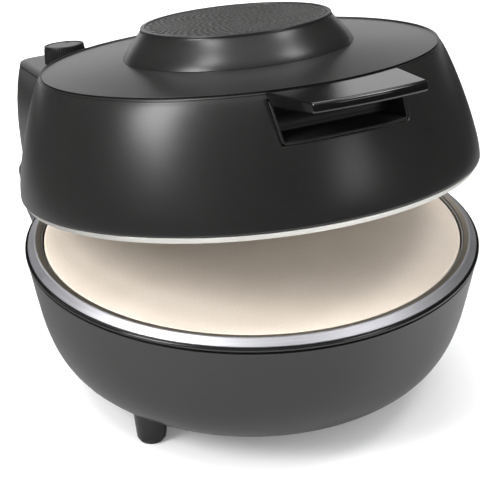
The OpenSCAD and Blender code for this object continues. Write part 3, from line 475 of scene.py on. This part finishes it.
foot_ring_r = 125.0
foot_low, foot_top = -113.0, -80.0
foot_sink = 0.6
foot_side = rounded([(8.5, foot_low, 0), (10.5, foot_low, 1.6), (12.5, foot_top, 0)])
foot_turn = np.linspace(0, 2 * np.pi, 72, endpoint=False)
foot_ways = {"front_left": -63, "front_right": 63, "rear_left": -142, "rear_right": 142}
for name, way in foot_ways.items():
    middle = foot_ring_r * np.array([np.sin(np.radians(way)), -np.cos(np.radians(way))])
    across = foot_side[:, :1] * np.cos(foot_turn) + middle[0]
    along = foot_side[:, :1] * np.sin(foot_turn) + middle[1]
    share = ((foot_side[:, 1] - foot_low) / (foot_top - foot_low))[:, None]
    up = foot_low + share * (bowl_height(np.hypot(across, along)[-1]) + foot_sink - foot_low)
    foot = np.stack([across, along, up], axis=-1)
    low, high = (np.broadcast_to(row.mean(axis=0), (1, len(foot_turn), 3))
                 for row in (foot[0], foot[-1]))
    foot = np.concatenate([low, foot, high])
    piece("foot_" + name, standing(foot), quads(*foot.shape[:2]).reshape(-1, 4), gloss, "feet",
          "base")


# ---- Pieces between the bowl and the stone ----
# The pan, its element and clips, the shield, studs and cut-out keep their CAD shapes, in bare sheet
# metal, heat-darkened tube and ceramic.
def turned_metal(name, colour, roughness, pitch=0.0006, strength=0.25, dull_within=0.0):
    """Bare metal brushed round the bowl's axis: fine lines that follow its circles.

    Within the radius dull_within the stone's heat has turned it dull and brown.
    """
    made, shader, nodes = material(name, Metallic=1.0)
    where = nodes.node("TexCoord", out=3)
    x, y, _ = where.parts()
    y = y - axis_y
    radius = nodes.math("SQRT", x * x + y * y)
    line = nodes.node("CombineXYZ",
                      {0: radius / pitch, 1: nodes.math("ARCTAN2", y, x) * 3.0, 2: 0.0})
    brush = nodes.node("TexNoise", {"Vector": line, "Scale": 1.0, "Detail": 4.0, "Roughness": 0.7})
    broad = nodes.node("TexNoise", {"Vector": where, "Scale": 20.0, "Detail": 2.0})
    light = tuple(min(1.0, c * 1.08) for c in colour) + (1,)
    dark = tuple(c * 0.85 for c in colour) + (1,)
    browned = (0.42, 0.38, 0.32, 1)
    clean = (0.7 * brush + 0.3 * broad).ramp(0.3, 0.7).mix(dark, light)
    bright = radius.ramp(dull_within - 0.0003, dull_within + 0.0003)
    drive(shader,
          Base_Color=bright.mix(browned, clean),
          Roughness=roughness + 0.12 * (brush - 0.5) + 0.06 * (broad - 0.5),
          Normal=nodes.node("Bump", {"Height": brush, "Strength": strength, "Distance": 0.00005}))
    return made


def dress(finish, *nodes):
    """Give CAD nodes this material in place of their own."""
    for node in nodes:
        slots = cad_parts[node].data.materials
        slots.clear()
        slots.append(finish)


ceramic = satin_moulding("ceramic", (0.75, 0.72, 0.64), 0.5)
steel = turned_metal("steel", (0.60, 0.60, 0.62), 0.3)
sheet = turned_metal("sheet", (0.55, 0.55, 0.54), 0.34)
rod = satin_moulding("rod", (0.12, 0.11, 0.10), 0.5, 0.0001, 900.0)
dress(sheet, "reflector_pan", "heat_shield")
dress(rod, "lower_element")
dress(steel, "lower_element_clips", "pan_studs", "foot_screws")
dress(ceramic, "thermal_cutout")
dress(satin_moulding("pad", (0.03, 0.03, 0.03), 0.85, 0.0002), "foot_pads")


# ---- Deck ring ----
# A pressed ring of brushed bare metal on the bowl's rim: a bright slope outside, then a nearly flat
# band that drops to the pan's edge beside the stone.
deck_profile = rounded([
    (166.5, 0.25, 0), (166.5, 0.8, 0.3), (162.0, 4.6, 1.2), (160.9, 5.0, 1.2), (156.95, 4.1, 0.3),
    (156.95, -4.0, 0), (157.95, -4.0, 0), (157.95, 3.2, 0), (160.9, 4.0, 0), (164.3, 0.8, 0),
    (164.3, -4.0, 0), (165.3, -4.0, 0), (165.3, 0.25, 0)], steps=4, support=0.25)
deck_metal = turned_metal("deck_metal", (0.58, 0.58, 0.61), 0.48, dull_within=0.1608)
turned_piece("deck", deck_profile, standing, deck_metal, "deck_ring", "base", 256)


# ---- Baking stone ----
# A loose disc of cream unglazed stone; it lies on the pan's ledge and lifts out. Its edge is ground
# round and its face shows the grain of the clay.
def stone_material():
    """Unglazed cream stone: fine grain, a few darker specks, and broad pale clouds."""
    made, shader, nodes = material("stone", Specular_IOR_Level=0.3)
    where = nodes.node("TexCoord", out=3)
    grain = nodes.node("TexNoise", {"Vector": where, "Scale": 900.0, "Detail": 5.0})
    cloud = nodes.node("TexNoise", {"Vector": where, "Scale": 16.0, "Detail": 3.0})
    speck = nodes.node("TexVoronoi", {"Vector": where, "Scale": 420.0})
    warm, pale = (0.80, 0.70, 0.59, 1), (0.90, 0.80, 0.70, 1)
    base = (0.5 * grain + 0.5 * cloud).ramp(0.3, 0.7).mix(warm, pale)
    dots = speck.ramp(0.10, 0.16, 1.0, 0.0) * grain.ramp(0.55, 0.62)
    drive(shader,
          Base_Color=dots.mix(base, (0.55, 0.48, 0.40, 1)),
          Roughness=0.78 + 0.2 * (grain - 0.5),
          Normal=nodes.node("Bump", {"Height": grain, "Strength": 0.4, "Distance": 0.0002}))
    return made


stone_r = 154.5
stone_low, stone_top = -9.1, 2.9
stone = turned(rounded([(0, stone_low, 0), (stone_r, stone_low, 1.4), (stone_r, stone_top, 1.4),
                        (0, stone_top, 0)]), 256)
piece("stone_disc", standing(stone), quads(*stone.shape[:2]).reshape(-1, 4), stone_material(),
      "baking_stone", "stone")


# ---- Lower rear housing ----
# A charcoal moulding screwed to the bowl's back: it carries the hinge and takes in the mains cord.
# Its plan is a U whose arms run into the bowl, and its lower half draws in under a knee.
def plan_line(half_width, corner_r, back_y, slots=(), slot_half=0.0):
    """Stations round a housing's plan from its left side to its right.

    Each is (x, y, way out x, way out y). An arm runs straight back on either side, a quarter turn
    of radius corner_r follows, and the back runs straight across. Each slot in the back wall gets
    a station at both edges.
    """
    turn = np.radians(90) * np.linspace(0, 1, 19)[1:-1]
    out = np.stack([np.cos(turn), np.sin(turn)], axis=1)
    corner = np.array([half_width - corner_r, back_y - corner_r]) + corner_r * out
    arm_y = np.linspace(30.0, back_y - corner_r, 22)
    arm = np.stack([0 * arm_y + half_width, arm_y, 0 * arm_y + 1, 0 * arm_y], axis=1)
    edges = sorted([s + e for s in slots for e in (-slot_half, slot_half)])
    across = np.array(sorted(set(np.linspace(half_width - corner_r, 0, 9).tolist() + edges)))[::-1]
    back = np.stack([across, np.full(len(across), back_y), 0 * across, 0 * across + 1], axis=1)
    half = np.concatenate([arm, np.concatenate([corner, out], axis=1), back])
    other = half[::-1] * (-1, 1, -1, 1)
    return np.concatenate([half, other[1:]])[::-1]


def stopped(x, y, height, meet):
    """A row of points at this height, of which none enters the body in front.

    The body's radius at each height is meet. Points that would enter it slide along the arm to its
    circle, where y is the root of meet squared less x squared.
    """
    reach = meet(height)
    stop = np.sqrt(np.maximum(reach ** 2 - x ** 2, 0))
    return np.stack([x, np.where(np.hypot(x, y) < reach, stop, y), np.full(len(x), height)], axis=1)


def housing_skin(plan, levels, meet):
    """Rows of points round a housing, one for each level (height, inset at sides, inset at back).

    The inset runs from the one at the sides to the one at the back with the square of the outward
    way's y.
    """
    rows = []
    for height, side, back in levels:
        inset = side + (back - side) * plan[:, 3] ** 2
        x, y = (plan[:, :2] - plan[:, 2:] * inset[:, None]).T
        rows.append(stopped(x, y, height, meet))
    return np.array(rows)


def across_top(row, meet, steps=14):
    """Rows over a flat top, from a row on its outline forward to the circle of radius meet."""
    front = np.sqrt(np.maximum(meet ** 2 - row[:, 0] ** 2, 0))
    front = np.minimum(front, row[:, 1])
    share = np.linspace(0, 1, steps + 1)[1:, None]
    return np.stack([np.broadcast_to(row[:, 0], (steps, len(row))),
                     row[:, 1] + share * (front - row[:, 1]),
                     np.broadcast_to(row[:, 2], (steps, len(row)))], axis=-1)


def edge_levels(top, radius, side, back, steps=5):
    """Levels over a rounded upper edge, as quarter turns that start from the insets below it."""
    turn = np.radians(90) * np.linspace(0, 1, steps + 1)
    draw = radius * (1 - np.cos(turn))
    return [(top - radius + radius * np.sin(a), side + d, back + d) for a, d in zip(turn, draw)]


def bowl_radius(height):
    """Radius that just clears the bowl's outer wall at this height."""
    return np.interp(height, bowl_curve[::-1, 1], bowl_curve[::-1, 0]) + 0.3


back_wall_y = 234
base_plan = plan_line(116, 45, back_wall_y)
base_levels = ([(-78, 40, 52), (-76.5, 37, 49), (-70, 25, 28), (-63.5, 12.2, 7), (-61, 9.6, 4.6),
                (-58, 8.6, 3.8), (-50, 6.2, 1.6), (-45, 4.7, 0.3), (-43, 4.0, 0.05), (-40, 3.6, 0),
                (-30, 2.4, 0), (-20, 1.2, 0), (-12, 0.4, 0)] + edge_levels(-3, 5, 0, 0))
base_skin = housing_skin(base_plan, base_levels, bowl_radius)
base_skin = np.concatenate([across_top(base_skin[0], bowl_radius(-78))[::-1], base_skin,
                            across_top(base_skin[-1], bowl_radius(-3))])
piece("lower_housing", standing(base_skin),
      quads(*base_skin.shape[:2], loop_columns=False).reshape(-1, 4), charcoal, "rear_base_housing",
      "base", wall=0.0024)
dress(steel, "hinge_brackets", "hinge_pins", "bracket_screws")
dress(ceramic, "terminal_block")
matt_black = satin_moulding("black_matte", (0.007, 0.007, 0.007), 0.42)
dress(matt_black, "cord_bush")


# ---- Lid shell ----
# The lid is one charcoal moulding: a wall that rises to a crisp crease, with a fine groove just
# under it, and a nearly flat top. Its front is cut out for the handle's recess.
pins_low, pins_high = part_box("hinge_pins")
hinge_y = (pins_low[1] + pins_high[1]) / 2
hinge_z = (pins_low[2] + pins_high[2]) / 2
ajar = np.radians(10.8)


def opened(points):
    """Points of the closed lid, in mm from the bowl's axis and rim, turned ajar about the pins."""
    points = standing(points)
    y, z = points[..., 1] - hinge_y, points[..., 2] - hinge_z
    return np.stack([points[..., 0], hinge_y + y * np.cos(ajar) + z * np.sin(ajar),
                     hinge_z - y * np.sin(ajar) + z * np.cos(ajar)], axis=-1)


lid_edge = 10.3
lid_wall = curve((167.4, lid_edge), (168.2, 27.3), (150.1, 85.9), (142.7, 93.9), 80)


def lid_radius(height):
    """Radius of the lid's outer wall at a height above the rim."""
    return np.interp(height, lid_wall[:, 1], lid_wall[:, 0])


recess_back, recess_mouth = 127.0, 150.0
recess_mid = 75.0
cheek_lean = 0.13


def cheek_half(y, grow=0.0, z=recess_mid):
    """Half the recess's width at depth y in front of the axis and height z.

    Its cheeks draw in towards its back and, a little, towards its floor.
    """
    return 43.0 + grow + (y - recess_back) * 7.0 / 50.4 + (z - recess_mid) * cheek_lean


def recess_floor(y, grow=0.0):
    """Height of the recess's floor at depth y: it drops a little, then lifts in the lip's middle.
    """
    return 64.8 - (y - recess_back) * 2.4 / 50.4 + 0.27 * np.maximum(y - 151.0, 0.0) - grow


def cheek_on_wall(height, grow=0.0):
    """Half the recess's width where its cheek meets the lid's wall at this height."""
    radius, half = lid_radius(height), 47.0
    for _ in range(4):
        half = cheek_half(np.sqrt(radius ** 2 - half ** 2), grow, height)
    return half


def lid_skin(grow=2.0, top=90.4, groove=0.5, inside=41, outside=240):
    """The lid's outer skin as a grid, and which of its faces stay beside the recess.

    Columns within the recess share out the width between its cheeks; the others share out the rest
    of the circle. Rows run up the wall: from the lower edge to the recess's floor, on to its top,
    then through the groove and over the crease. A point lies at angle a from straight ahead, at
    (r sin a, -r cos a, z) for the profile's radius r at height z. Rows by the recess bend with its
    floor, and the next 12 columns on either side lead the bend out.
    """
    below, beside = 40, 12
    share = np.linspace(-1, 1, inside)
    rest = np.linspace(0, 1, outside + 1)[1:-1]
    start = recess_floor(recess_mouth, grow)
    crest = rounded([
        (lid_radius(top), top, 0), (lid_radius(92.35), 92.35, 0.12),
        (lid_radius(92.4) - groove, 92.45, 0.1), (lid_radius(92.8) - groove, 92.85, 0.1),
        (lid_radius(92.95), 92.95, 0.15), (142.75, 93.9, 0.6), (82.9, 98.58, 0), (74.6, 99.2, 0)],
        steps=3, support=0.3)[1:]
    heights = np.concatenate([lid_edge + (start - lid_edge) * np.linspace(0, 1, below + 1),
                              start + (top - start) * np.linspace(0, 1, beside + 1)[1:],
                              crest[:, 1]])
    radii = np.concatenate([lid_radius(heights[:below + beside + 1]), crest[:, 0]])
    half = cheek_on_wall(np.clip(heights, start, top), grow)
    edge = np.arcsin(half / lid_radius(np.clip(heights, start, top)))
    angle = np.concatenate([
        np.arcsin(share * np.sin(edge)[:, None]),
        edge[:, None] + (2 * np.pi - 2 * edge[:, None]) * rest], axis=1)
    up = heights[:, None] + 0 * angle
    across = np.arange(inside + outside - 1)
    ahead = radii[:, None] * np.cos(angle)
    drop = recess_floor(np.maximum(ahead, 100.0), grow) - start
    to_recess = np.minimum(across - inside, len(across) - across)
    near = np.where(across < inside, 1.0, np.clip(1 - to_recess / 12.0, 0, 1))
    along = np.clip(np.where(heights < start, (heights - lid_edge) / (start - lid_edge),
                             (top - heights) / (top - start)), 0, 1)[:, None]
    up = up + drop * near * along
    wall = heights[:, None] <= top + 0 * angle
    radius = np.where(wall, lid_radius(up), radii[:, None])
    points = np.stack([radius * np.sin(angle), -radius * np.cos(angle), up], axis=-1)
    keep = np.ones((len(heights) - 1, len(across)), bool)
    keep[below:below + beside, :inside - 1] = False
    return points, keep


lid_points, lid_kept = lid_skin()
piece("lid", opened(lid_points), quads(*lid_points.shape[:2])[lid_kept], charcoal, "lid_shell",
      "lid", wall=0.0024)


# ---- Ring and liner under the lid ----
# A pale metal ring closes the lid's lower edge. The liner, the heat shield over it and the upper
# element keep their CAD shapes in bare metal.
ring_profile = rounded([
    (162, 5.6, 0), (164.4, 5.6, 0.5), (167.4, 10.05, 0.3), (165.8, 10.05, 0.2), (163.0, 7.2, 0),
    (160.75, 7.2, 0), (160.75, 14.6, 0), (159.75, 14.6, 0), (159.75, 5.6, 0.3), (162, 5.6, 0)],
    steps=4, support=0.3)
turned_piece("lid_edge_ring", ring_profile, opened,
             turned_metal("ring_metal", (0.70, 0.69, 0.66), 0.42), "lid_ring", "lid",
             256)
dress(sheet, "lid_liner", "lid_heat_shield")
dress(rod, "upper_element")
dress(steel, "upper_element_clips")


# ---- Dome and vent ----
# A round cap of the same charcoal moulding on the lid, its upper edge rolled over to a seat. In the
# seat lies a thin disc pierced with a spiral of small round holes.
dome_top, dome_seat = 119.7, 117.8
dome_side = curve((82.6, 98.75), (79.47, 105.73), (71.8, 112), (68.4, dome_seat), 30)
dome_lip = rounded([(68.4, dome_seat, 0), (68.4, dome_top, 1.85), (64.85, dome_top, 0.5),
                    (64.85, dome_seat, 0)], steps=6)
dome_inner = np.concatenate([[(62.6, dome_seat), (62.6, dome_seat - 1.8), (65.6, dome_seat - 1.8)],
                             inset_path(dome_side, 2.0)[-3::-1]])
turned_piece("dome", np.concatenate([dome_side, dome_lip[1:], dome_inner]), opened, charcoal,
             "dome_cover", "lid")

vent_r = 64.6
vent_area_r = vent_r - 3
vent_pitch = 4.4
vent_hole_r = 1.65
golden_angle = 137.5077640500378
hole_count = int(np.pi * (vent_area_r / vent_pitch) ** 2)
hole_number = np.arange(1, hole_count + 1)
spiral_r = vent_area_r * np.sqrt((hole_number - 0.5) / hole_count)
spiral_turn = np.radians(hole_number * golden_angle)
centres = spiral_r[:, None] * np.stack([np.cos(spiral_turn), np.sin(spiral_turn)], axis=1)


def vent_metal(p):
    """Whether points of the vent's disc lie outside every hole."""
    return np.hypot(*(p[:, None] - centres).transpose(2, 0, 1)).min(axis=1) > 0.985 * vent_hole_r


vent, vent_faces = pierced(
    ring(vent_r, 160), [centre + ring(vent_hole_r, 12) for centre in centres], vent_metal)
crown = dome_top - 0.4 + 0.35 * (1 - (np.hypot(*vent.T) / vent_r) ** 2)
piece("vent", opened(np.concatenate([vent, crown[:, None]], axis=1)), vent_faces,
      satin_moulding("vent_black", (0.020, 0.020, 0.019), 0.34), "vent_grille", "lid",
      wall=0.0016)


# ---- Handle recess ----
# A black frame let into the lid's front: a thin lip round the opening, four smooth walls and a back
# that the fingers reach over. It is clipped in from outside.
recess_top = 88.6


def on_wall(x, z, proud):
    """Depth y, in front of the axis, of the lid's wall at x and z, moved out by proud."""
    return np.sqrt((lid_radius(z) + proud) ** 2 - x ** 2)


def recess_loop(y, grow, corner_r=1.3, steps=6):
    """A loop round the recess at depth y: a frame of rounded corners between cheeks, floor and top.

    Each corner is a quarter circle, and 11 points share out each side between two corners.
    """
    half, low, top = cheek_half(y, grow), recess_floor(y, grow), recess_top + grow
    radius = corner_r + grow
    turn = np.radians(90) * np.linspace(0, 1, steps + 1)
    share = np.linspace(0, 1, 13)[1:-1, None]
    corners = []
    for (sx, sz), first in zip(((1, 1), (-1, 1), (-1, -1), (1, -1)), (0, 90, 180, 270)):
        middle = (sx * (half - radius), top - radius if sz > 0 else low + radius)
        a = np.radians(first) + turn
        corners.append(np.stack([middle[0] + radius * np.cos(a), middle[1] + radius * np.sin(a)],
                                axis=1))
    loop = np.concatenate([part for corner, after in zip(corners, corners[1:] + corners[:1])
                           for part in (corner, corner[-1] + share * (after[0] - corner[-1]))])
    lean = np.sign(loop[:, 0]) * (loop[:, 1] - recess_mid) * cheek_lean
    return loop + np.stack([lean, 0 * lean], axis=1)


def mouth_loop(grow, proud):
    """The recess's loop carried onto the lid's wall: it follows the wall's depth at each point.

    The width and the floor that a point gets depend on its depth, and its depth on them, so the
    depth is worked out three times.
    """
    plain = recess_loop(recess_mouth, grow)
    plain_low, plain_half = recess_floor(recess_mouth, grow), cheek_half(recess_mouth, grow)
    x, z = plain.T
    for _ in range(3):
        y = on_wall(x, z, proud)
        low_shift = (recess_floor(y, grow) - plain_low) * (z < recess_mid + 1)
        x = plain[:, 0] * (cheek_half(y, grow) / plain_half)
        z = plain[:, 1] + low_shift
    return np.stack([x, -on_wall(x, z, proud), z], axis=1)


recess = [mouth_loop(grow, proud) for grow, proud in (
    (1.8, -3.0), (1.8, -0.2), (1.75, 0.3), (1.5, 0.55), (1.1, 0.6), (0.5, 0.6), (0.15, 0.45),
    (0.02, 0.1))]
mouth = recess[-1]
back_x, back_z = recess_loop(recess_back, 0.0).T
back_loop = np.stack([back_x, np.full(len(back_x), -recess_back), back_z], axis=1)
recess += [mouth + depth * (back_loop - mouth) for depth in (0.02, 0.1, 0.35, 0.65, 0.9)]
back_mid = (recess_top + recess_floor(recess_back)) / 2
for grow, ahead in ((-0.1, 1.4), (-0.5, 0.5), (-1.2, 0.05), (-2.4, 0.0)):
    recess.append(np.stack([
        back_x + grow * np.sign(back_x), np.full(len(back_x), -recess_back - ahead),
        back_mid + (back_z - back_mid) * (1 + grow / 12.0)], axis=1))
spine = recess[-1] * (0.9, 1, 0) + (0, 0, recess[-1][:, 2].mean())
recess = np.array(recess + [spine])
piece("recess_frame", opened(recess), quads(*recess.shape[:2]).reshape(-1, 4),
      satin_moulding("recess_black", (0.009, 0.009, 0.009), 0.46), "handle_bezel", "lid",
      wall=0.0014)


# ---- Handle grip ----
# A gloss black shelf that stands out over the recess: its lip is rounded and bowed a little
# forward, its top is flush with the lid's, and a neck under it runs to the back of the recess. Two
# screws hold it from inside the lid.
def shelf(section, front_half, root_half, front_y, root_y, bow, wall_clear, round_r, columns):
    """A closed bar across the lid's front, from a section carried from its left end to its right.

    Section points are (distance behind the front edge, height); an infinite distance lies on the
    lid's wall, moved out by wall_clear. A column at share s of the half width runs from
    (s front_half, front_y bowed back by bow s squared) towards (s root_half, root_y). At both ends
    the section draws in by r (1 - cos a) while the column moves out by r sin a, which rounds them.
    """
    turn = np.radians(90) * np.linspace(0, 1, 6)
    share = np.concatenate([-np.ones(5), np.linspace(-1, 1, columns), np.ones(5)])
    inward = round_r * np.concatenate([(1 - np.sin(turn))[:0:-1], np.ones(columns),
                                       (1 - np.sin(turn))[1:]])
    draw = round_r * np.concatenate([(1 - np.cos(turn))[:0:-1], np.zeros(columns),
                                     (1 - np.cos(turn))[1:]])
    sign = np.sign(share)
    front = np.stack([share * front_half - sign * inward * np.abs(share),
                      front_y + bow * share ** 2], axis=1)
    root = np.stack([share * root_half - sign * inward * np.abs(share),
                     np.full(len(share), root_y)], axis=1)
    way = root - front
    way /= np.linalg.norm(way, axis=1)[:, None]
    middle = (section[:, 1].max() + section[:, 1].min()) / 2
    tall = section[:, 1].max() - section[:, 1].min()
    height = middle + (section[:, 1] - middle)[:, None] * (1 - 2 * draw / tall)
    reach = lid_radius(np.minimum(height, 93.8)) + wall_clear
    # distance to the circle of that radius: the smaller root of |front + d way| = reach
    half = (front * way).sum(axis=1)
    gap = -half - np.sqrt(np.maximum(half ** 2 - (front ** 2).sum(axis=1) + reach ** 2, 0))
    behind = np.where(np.isinf(section[:, :1]), gap,
                      np.nan_to_num(section[:, :1], posinf=0.0) + draw)
    flat = front[None] + behind[..., None] * way[None]
    return np.concatenate([flat, height[..., None]], axis=-1)


lip = rounded([(60, 94.2, 0), (0, 93.5, 2.6), (0, 86.5, 2.2), (9, 86.2, 4.0), (60, 85.6, 0)],
              steps=8, support=0.5)
lip[lip[:, 0] > 30, 0] = np.inf
lip_grid = shelf(lip, 40.6, 49.0, -187.0, -130.7, bow=3.0, wall_clear=0.75, round_r=1.3,
                 columns=97)


def capped(grid):
    """Faces of a closed bar: the grid's own with its section looped, and a flat end at each side.
    """
    rows, columns = grid.shape[:2]
    index = np.arange(rows * columns).reshape(rows, columns)
    sides = quads(rows, columns, loop_rows=True, loop_columns=False).reshape(-1, 4).tolist()
    return sides + [index[::-1, 0].tolist(), index[:, -1].tolist()]


piece("grip", opened(lip_grid), capped(lip_grid), gloss, "handle_grip", "lid")
neck_top = 88.35
neck_low = neck_top - 4
neck = rounded([(0, neck_top, 0), (0, neck_low, 0.8), (40, neck_low, 0), (40, neck_top, 0),
                (0.8, neck_top, 0)], steps=3)[:-1]
neck_reach = 15.75
neck[neck[:, 0] > 20, 0] = neck_reach
neck_grid = shelf(neck, 40.0, 40.0, -143.0, -recess_back, bow=0.0, wall_clear=0.0, round_r=0.5,
                  columns=9)
piece("grip_neck", opened(neck_grid), capped(neck_grid), gloss, "handle_grip", "lid")
dress(steel, "handle_screws")


# ---- Upper rear housing ----
# A charcoal moulding on the lid's back that carries the knob and turns with the lid on two pairs
# of eyes. Its sides swell a little and lean in, its upper edge is softly rounded, and slots in its
# back clear the hinge.
hinge_x = 50.0
housing_plan = plan_line(117, 56, back_wall_y, slots=(hinge_x,), slot_half=2.55)
swell = curve((112.5, 5), (113.5, 33), (109, 55), (101, 72.5), 16)
lean = curve((back_wall_y, 11), (back_wall_y, 35), (230, 47.5), (229, 72.5), 16)
slot_top = 22.5
heights = np.array([5, 7, 11, 16, 19, slot_top, 26, 31, 37, 43, 49, 55, 60, 65, 69, 72])
levels = [(h, np.interp(h, swell[:, 1], swell[:, 0]), np.interp(h, lean[:, 1], lean[:, 0]), 0)
          for h in heights]
edge_r = 5
levels += [(72.5 + edge_r * np.sin(a), 96 + edge_r * np.cos(a), 224 + edge_r * np.cos(a),
            3 - 3 * np.cos(a)) for a in np.radians(90) * np.linspace(0, 1, 8)]


def clear_of_lid(height):
    """Radius that just clears the lid's wall at this height."""
    return lid_radius(max(height, lid_edge)) + 0.3


def flanked_skin(plan, levels, meet):
    """Rows of points round a housing whose plan two flanks and the back wall cut.

    Each level is (height, half width where y is 183, the back wall's y, inset of the plan). Forward
    of y 183 the flanks stand wider apart by 5.4 degrees each. The lesser of two limits a and b is
    taken as (a + b - sqrt((a - b)^2 + 4)) / 2, which rounds the edge between them.
    """
    rows = []
    for height, half, back, inset in levels:
        x, y = (plan[:, :2] - plan[:, 2:] * inset).T
        y = (y + back - np.sqrt((y - back) ** 2 + 4)) / 2
        limit = half + (183 - y) * np.tan(np.radians(5.4))
        x = np.sign(x) * (np.abs(x) + limit - np.sqrt((np.abs(x) - limit) ** 2 + 4)) / 2
        rows.append(stopped(x, y, height, meet))
    return np.array(rows)


housing = flanked_skin(housing_plan, levels, clear_of_lid)
housing = np.concatenate([housing, across_top(housing[-1], clear_of_lid(77.5))])
housing_kept = np.ones((housing.shape[0] - 1, housing.shape[1] - 1), bool)
between = np.abs(housing_plan[1:, 0] + housing_plan[:-1, 0]) / 2
in_slot = (np.abs(between - hinge_x) < 2.5) & (housing_plan[1:, 1] > back_wall_y - 0.1)
housing_kept[:np.searchsorted(heights, slot_top), in_slot] = False
piece("upper_housing", opened(housing), quads(*housing.shape[:2], loop_columns=False)[housing_kept],
      charcoal, "upper_rear_housing", "lid", wall=0.0024)
eye = rounded([(3.05, -4.0, 0), (7.5, -4.0, 0.6), (7.5, 4.0, 0.6), (3.05, 4.0, 0), (3.05, -4.0, 0)],
              steps=3)
eye_y, eye_z = 222, 14
eye_turn = np.linspace(0, 2 * np.pi, 64, endpoint=False)
for number, x in enumerate([s * hinge_x + h * 6.25 for s in (-1, 1) for h in (-1, 1)]):
    around = np.stack([eye[:, 1:] + x + 0 * eye_turn, eye_y + eye[:, :1] * np.cos(eye_turn),
                       eye_z + eye[:, :1] * np.sin(eye_turn)], axis=-1)
    piece("hinge_eye_%d" % number, opened(around),
          quads(*around.shape[:2], loop_rows=True).reshape(-1, 4), charcoal, "upper_rear_housing",
          "lid")
    arm = np.array([[(x + e * 3.9, y, z) for e in (-1, 1)] for y, z in
                    ((227.6, 8.0), (231.9, 8.0), (231.9, 20.9), (227.6, 20.9))])
    piece("hinge_arm_%d" % number, opened(arm), capped(arm), charcoal, "upper_rear_housing", "lid")
dress(matt_black, "wiring_plate")
dress(steel, "plate_screws")
dress(ceramic, "thermostat")


# ---- Control knob ----
# A matt black knob on the thermostat's shaft: fine upright ribs round its side, a plain dark rim,
# and a pale inlay let into its top with a notch as the pointer.
knob_at = (-71.5, 174.0, 78.1)
rib_count = 60
knob_turn = np.linspace(0, 2 * np.pi, rib_count * 8, endpoint=False)
rib = 0.5 * (0.5 + 0.5 * np.cos(rib_count * knob_turn)) ** 0.7
knob_side = rounded([
    (5.5, 0.6, 0), (13.6, 0.6, 0), (16.65, 0, 0.5), (16.0, 11.4, 0.3), (15.95, 12.0, 0.2),
    (15.75, 14.2, 0.8), (13.4, 14.2, 0.3), (13.4, 13.35, 0), (6.0, 13.35, 0)], steps=4)
ribbed = np.interp(knob_side[:, 1], [0, 0.6, 10.8, 11.8], [0, 1, 1, 0]) * (knob_side[:, 0] > 15.2)
knob_radius = knob_side[:, :1] + ribbed[:, None] * (rib - 0.25)
knob = np.stack([knob_radius * np.cos(knob_turn), knob_radius * np.sin(knob_turn),
                 knob_side[:, 1:] + 0 * knob_turn], axis=-1)
knob = np.concatenate([knob[:1] * (0, 0, 1), knob, knob[-1:] * (0, 0, 1)]) + knob_at
piece("knob", opened(knob), quads(*knob.shape[:2]).reshape(-1, 4), matt_black, "control_knob",
      "knob")

inlay_r = 13.25
notch_half, notch_end = 1.2, 8.3
notch = np.arcsin(notch_half / inlay_r)
arc = np.linspace(notch, 2 * np.pi - notch, 120)
notch_run = np.linspace(12.2, notch_end, 9)
inlay_loop = np.concatenate([
    inlay_r * np.stack([np.cos(arc), np.sin(arc)], axis=1),
    np.stack([notch_run, np.full(9, -notch_half)], axis=1),
    np.stack([np.full(5, notch_end), np.linspace(-0.8, 0.8, 5)], axis=1),
    np.stack([notch_run[::-1], np.full(9, notch_half)], axis=1)])
aim = np.radians(55.0)
inlay_loop = inlay_loop @ np.array([[np.cos(aim), np.sin(aim)], [-np.sin(aim), np.cos(aim)]])
inlay_side = ((0, 13.4), (1, 13.4), (1, 13.6), (0.985, 13.75), (0.95, 13.8), (0, 13.8))
inlay = knob_at + np.array([
    np.column_stack([inlay_loop * share, np.full(len(inlay_loop), height)])
    for share, height in inlay_side])
piece("inlay", opened(inlay), quads(*inlay.shape[:2]).reshape(-1, 4),
      satin_moulding("inlay", (0.10, 0.10, 0.097), 0.6), "knob_inlay", "knob")
dress(steel, "thermostat_shaft")
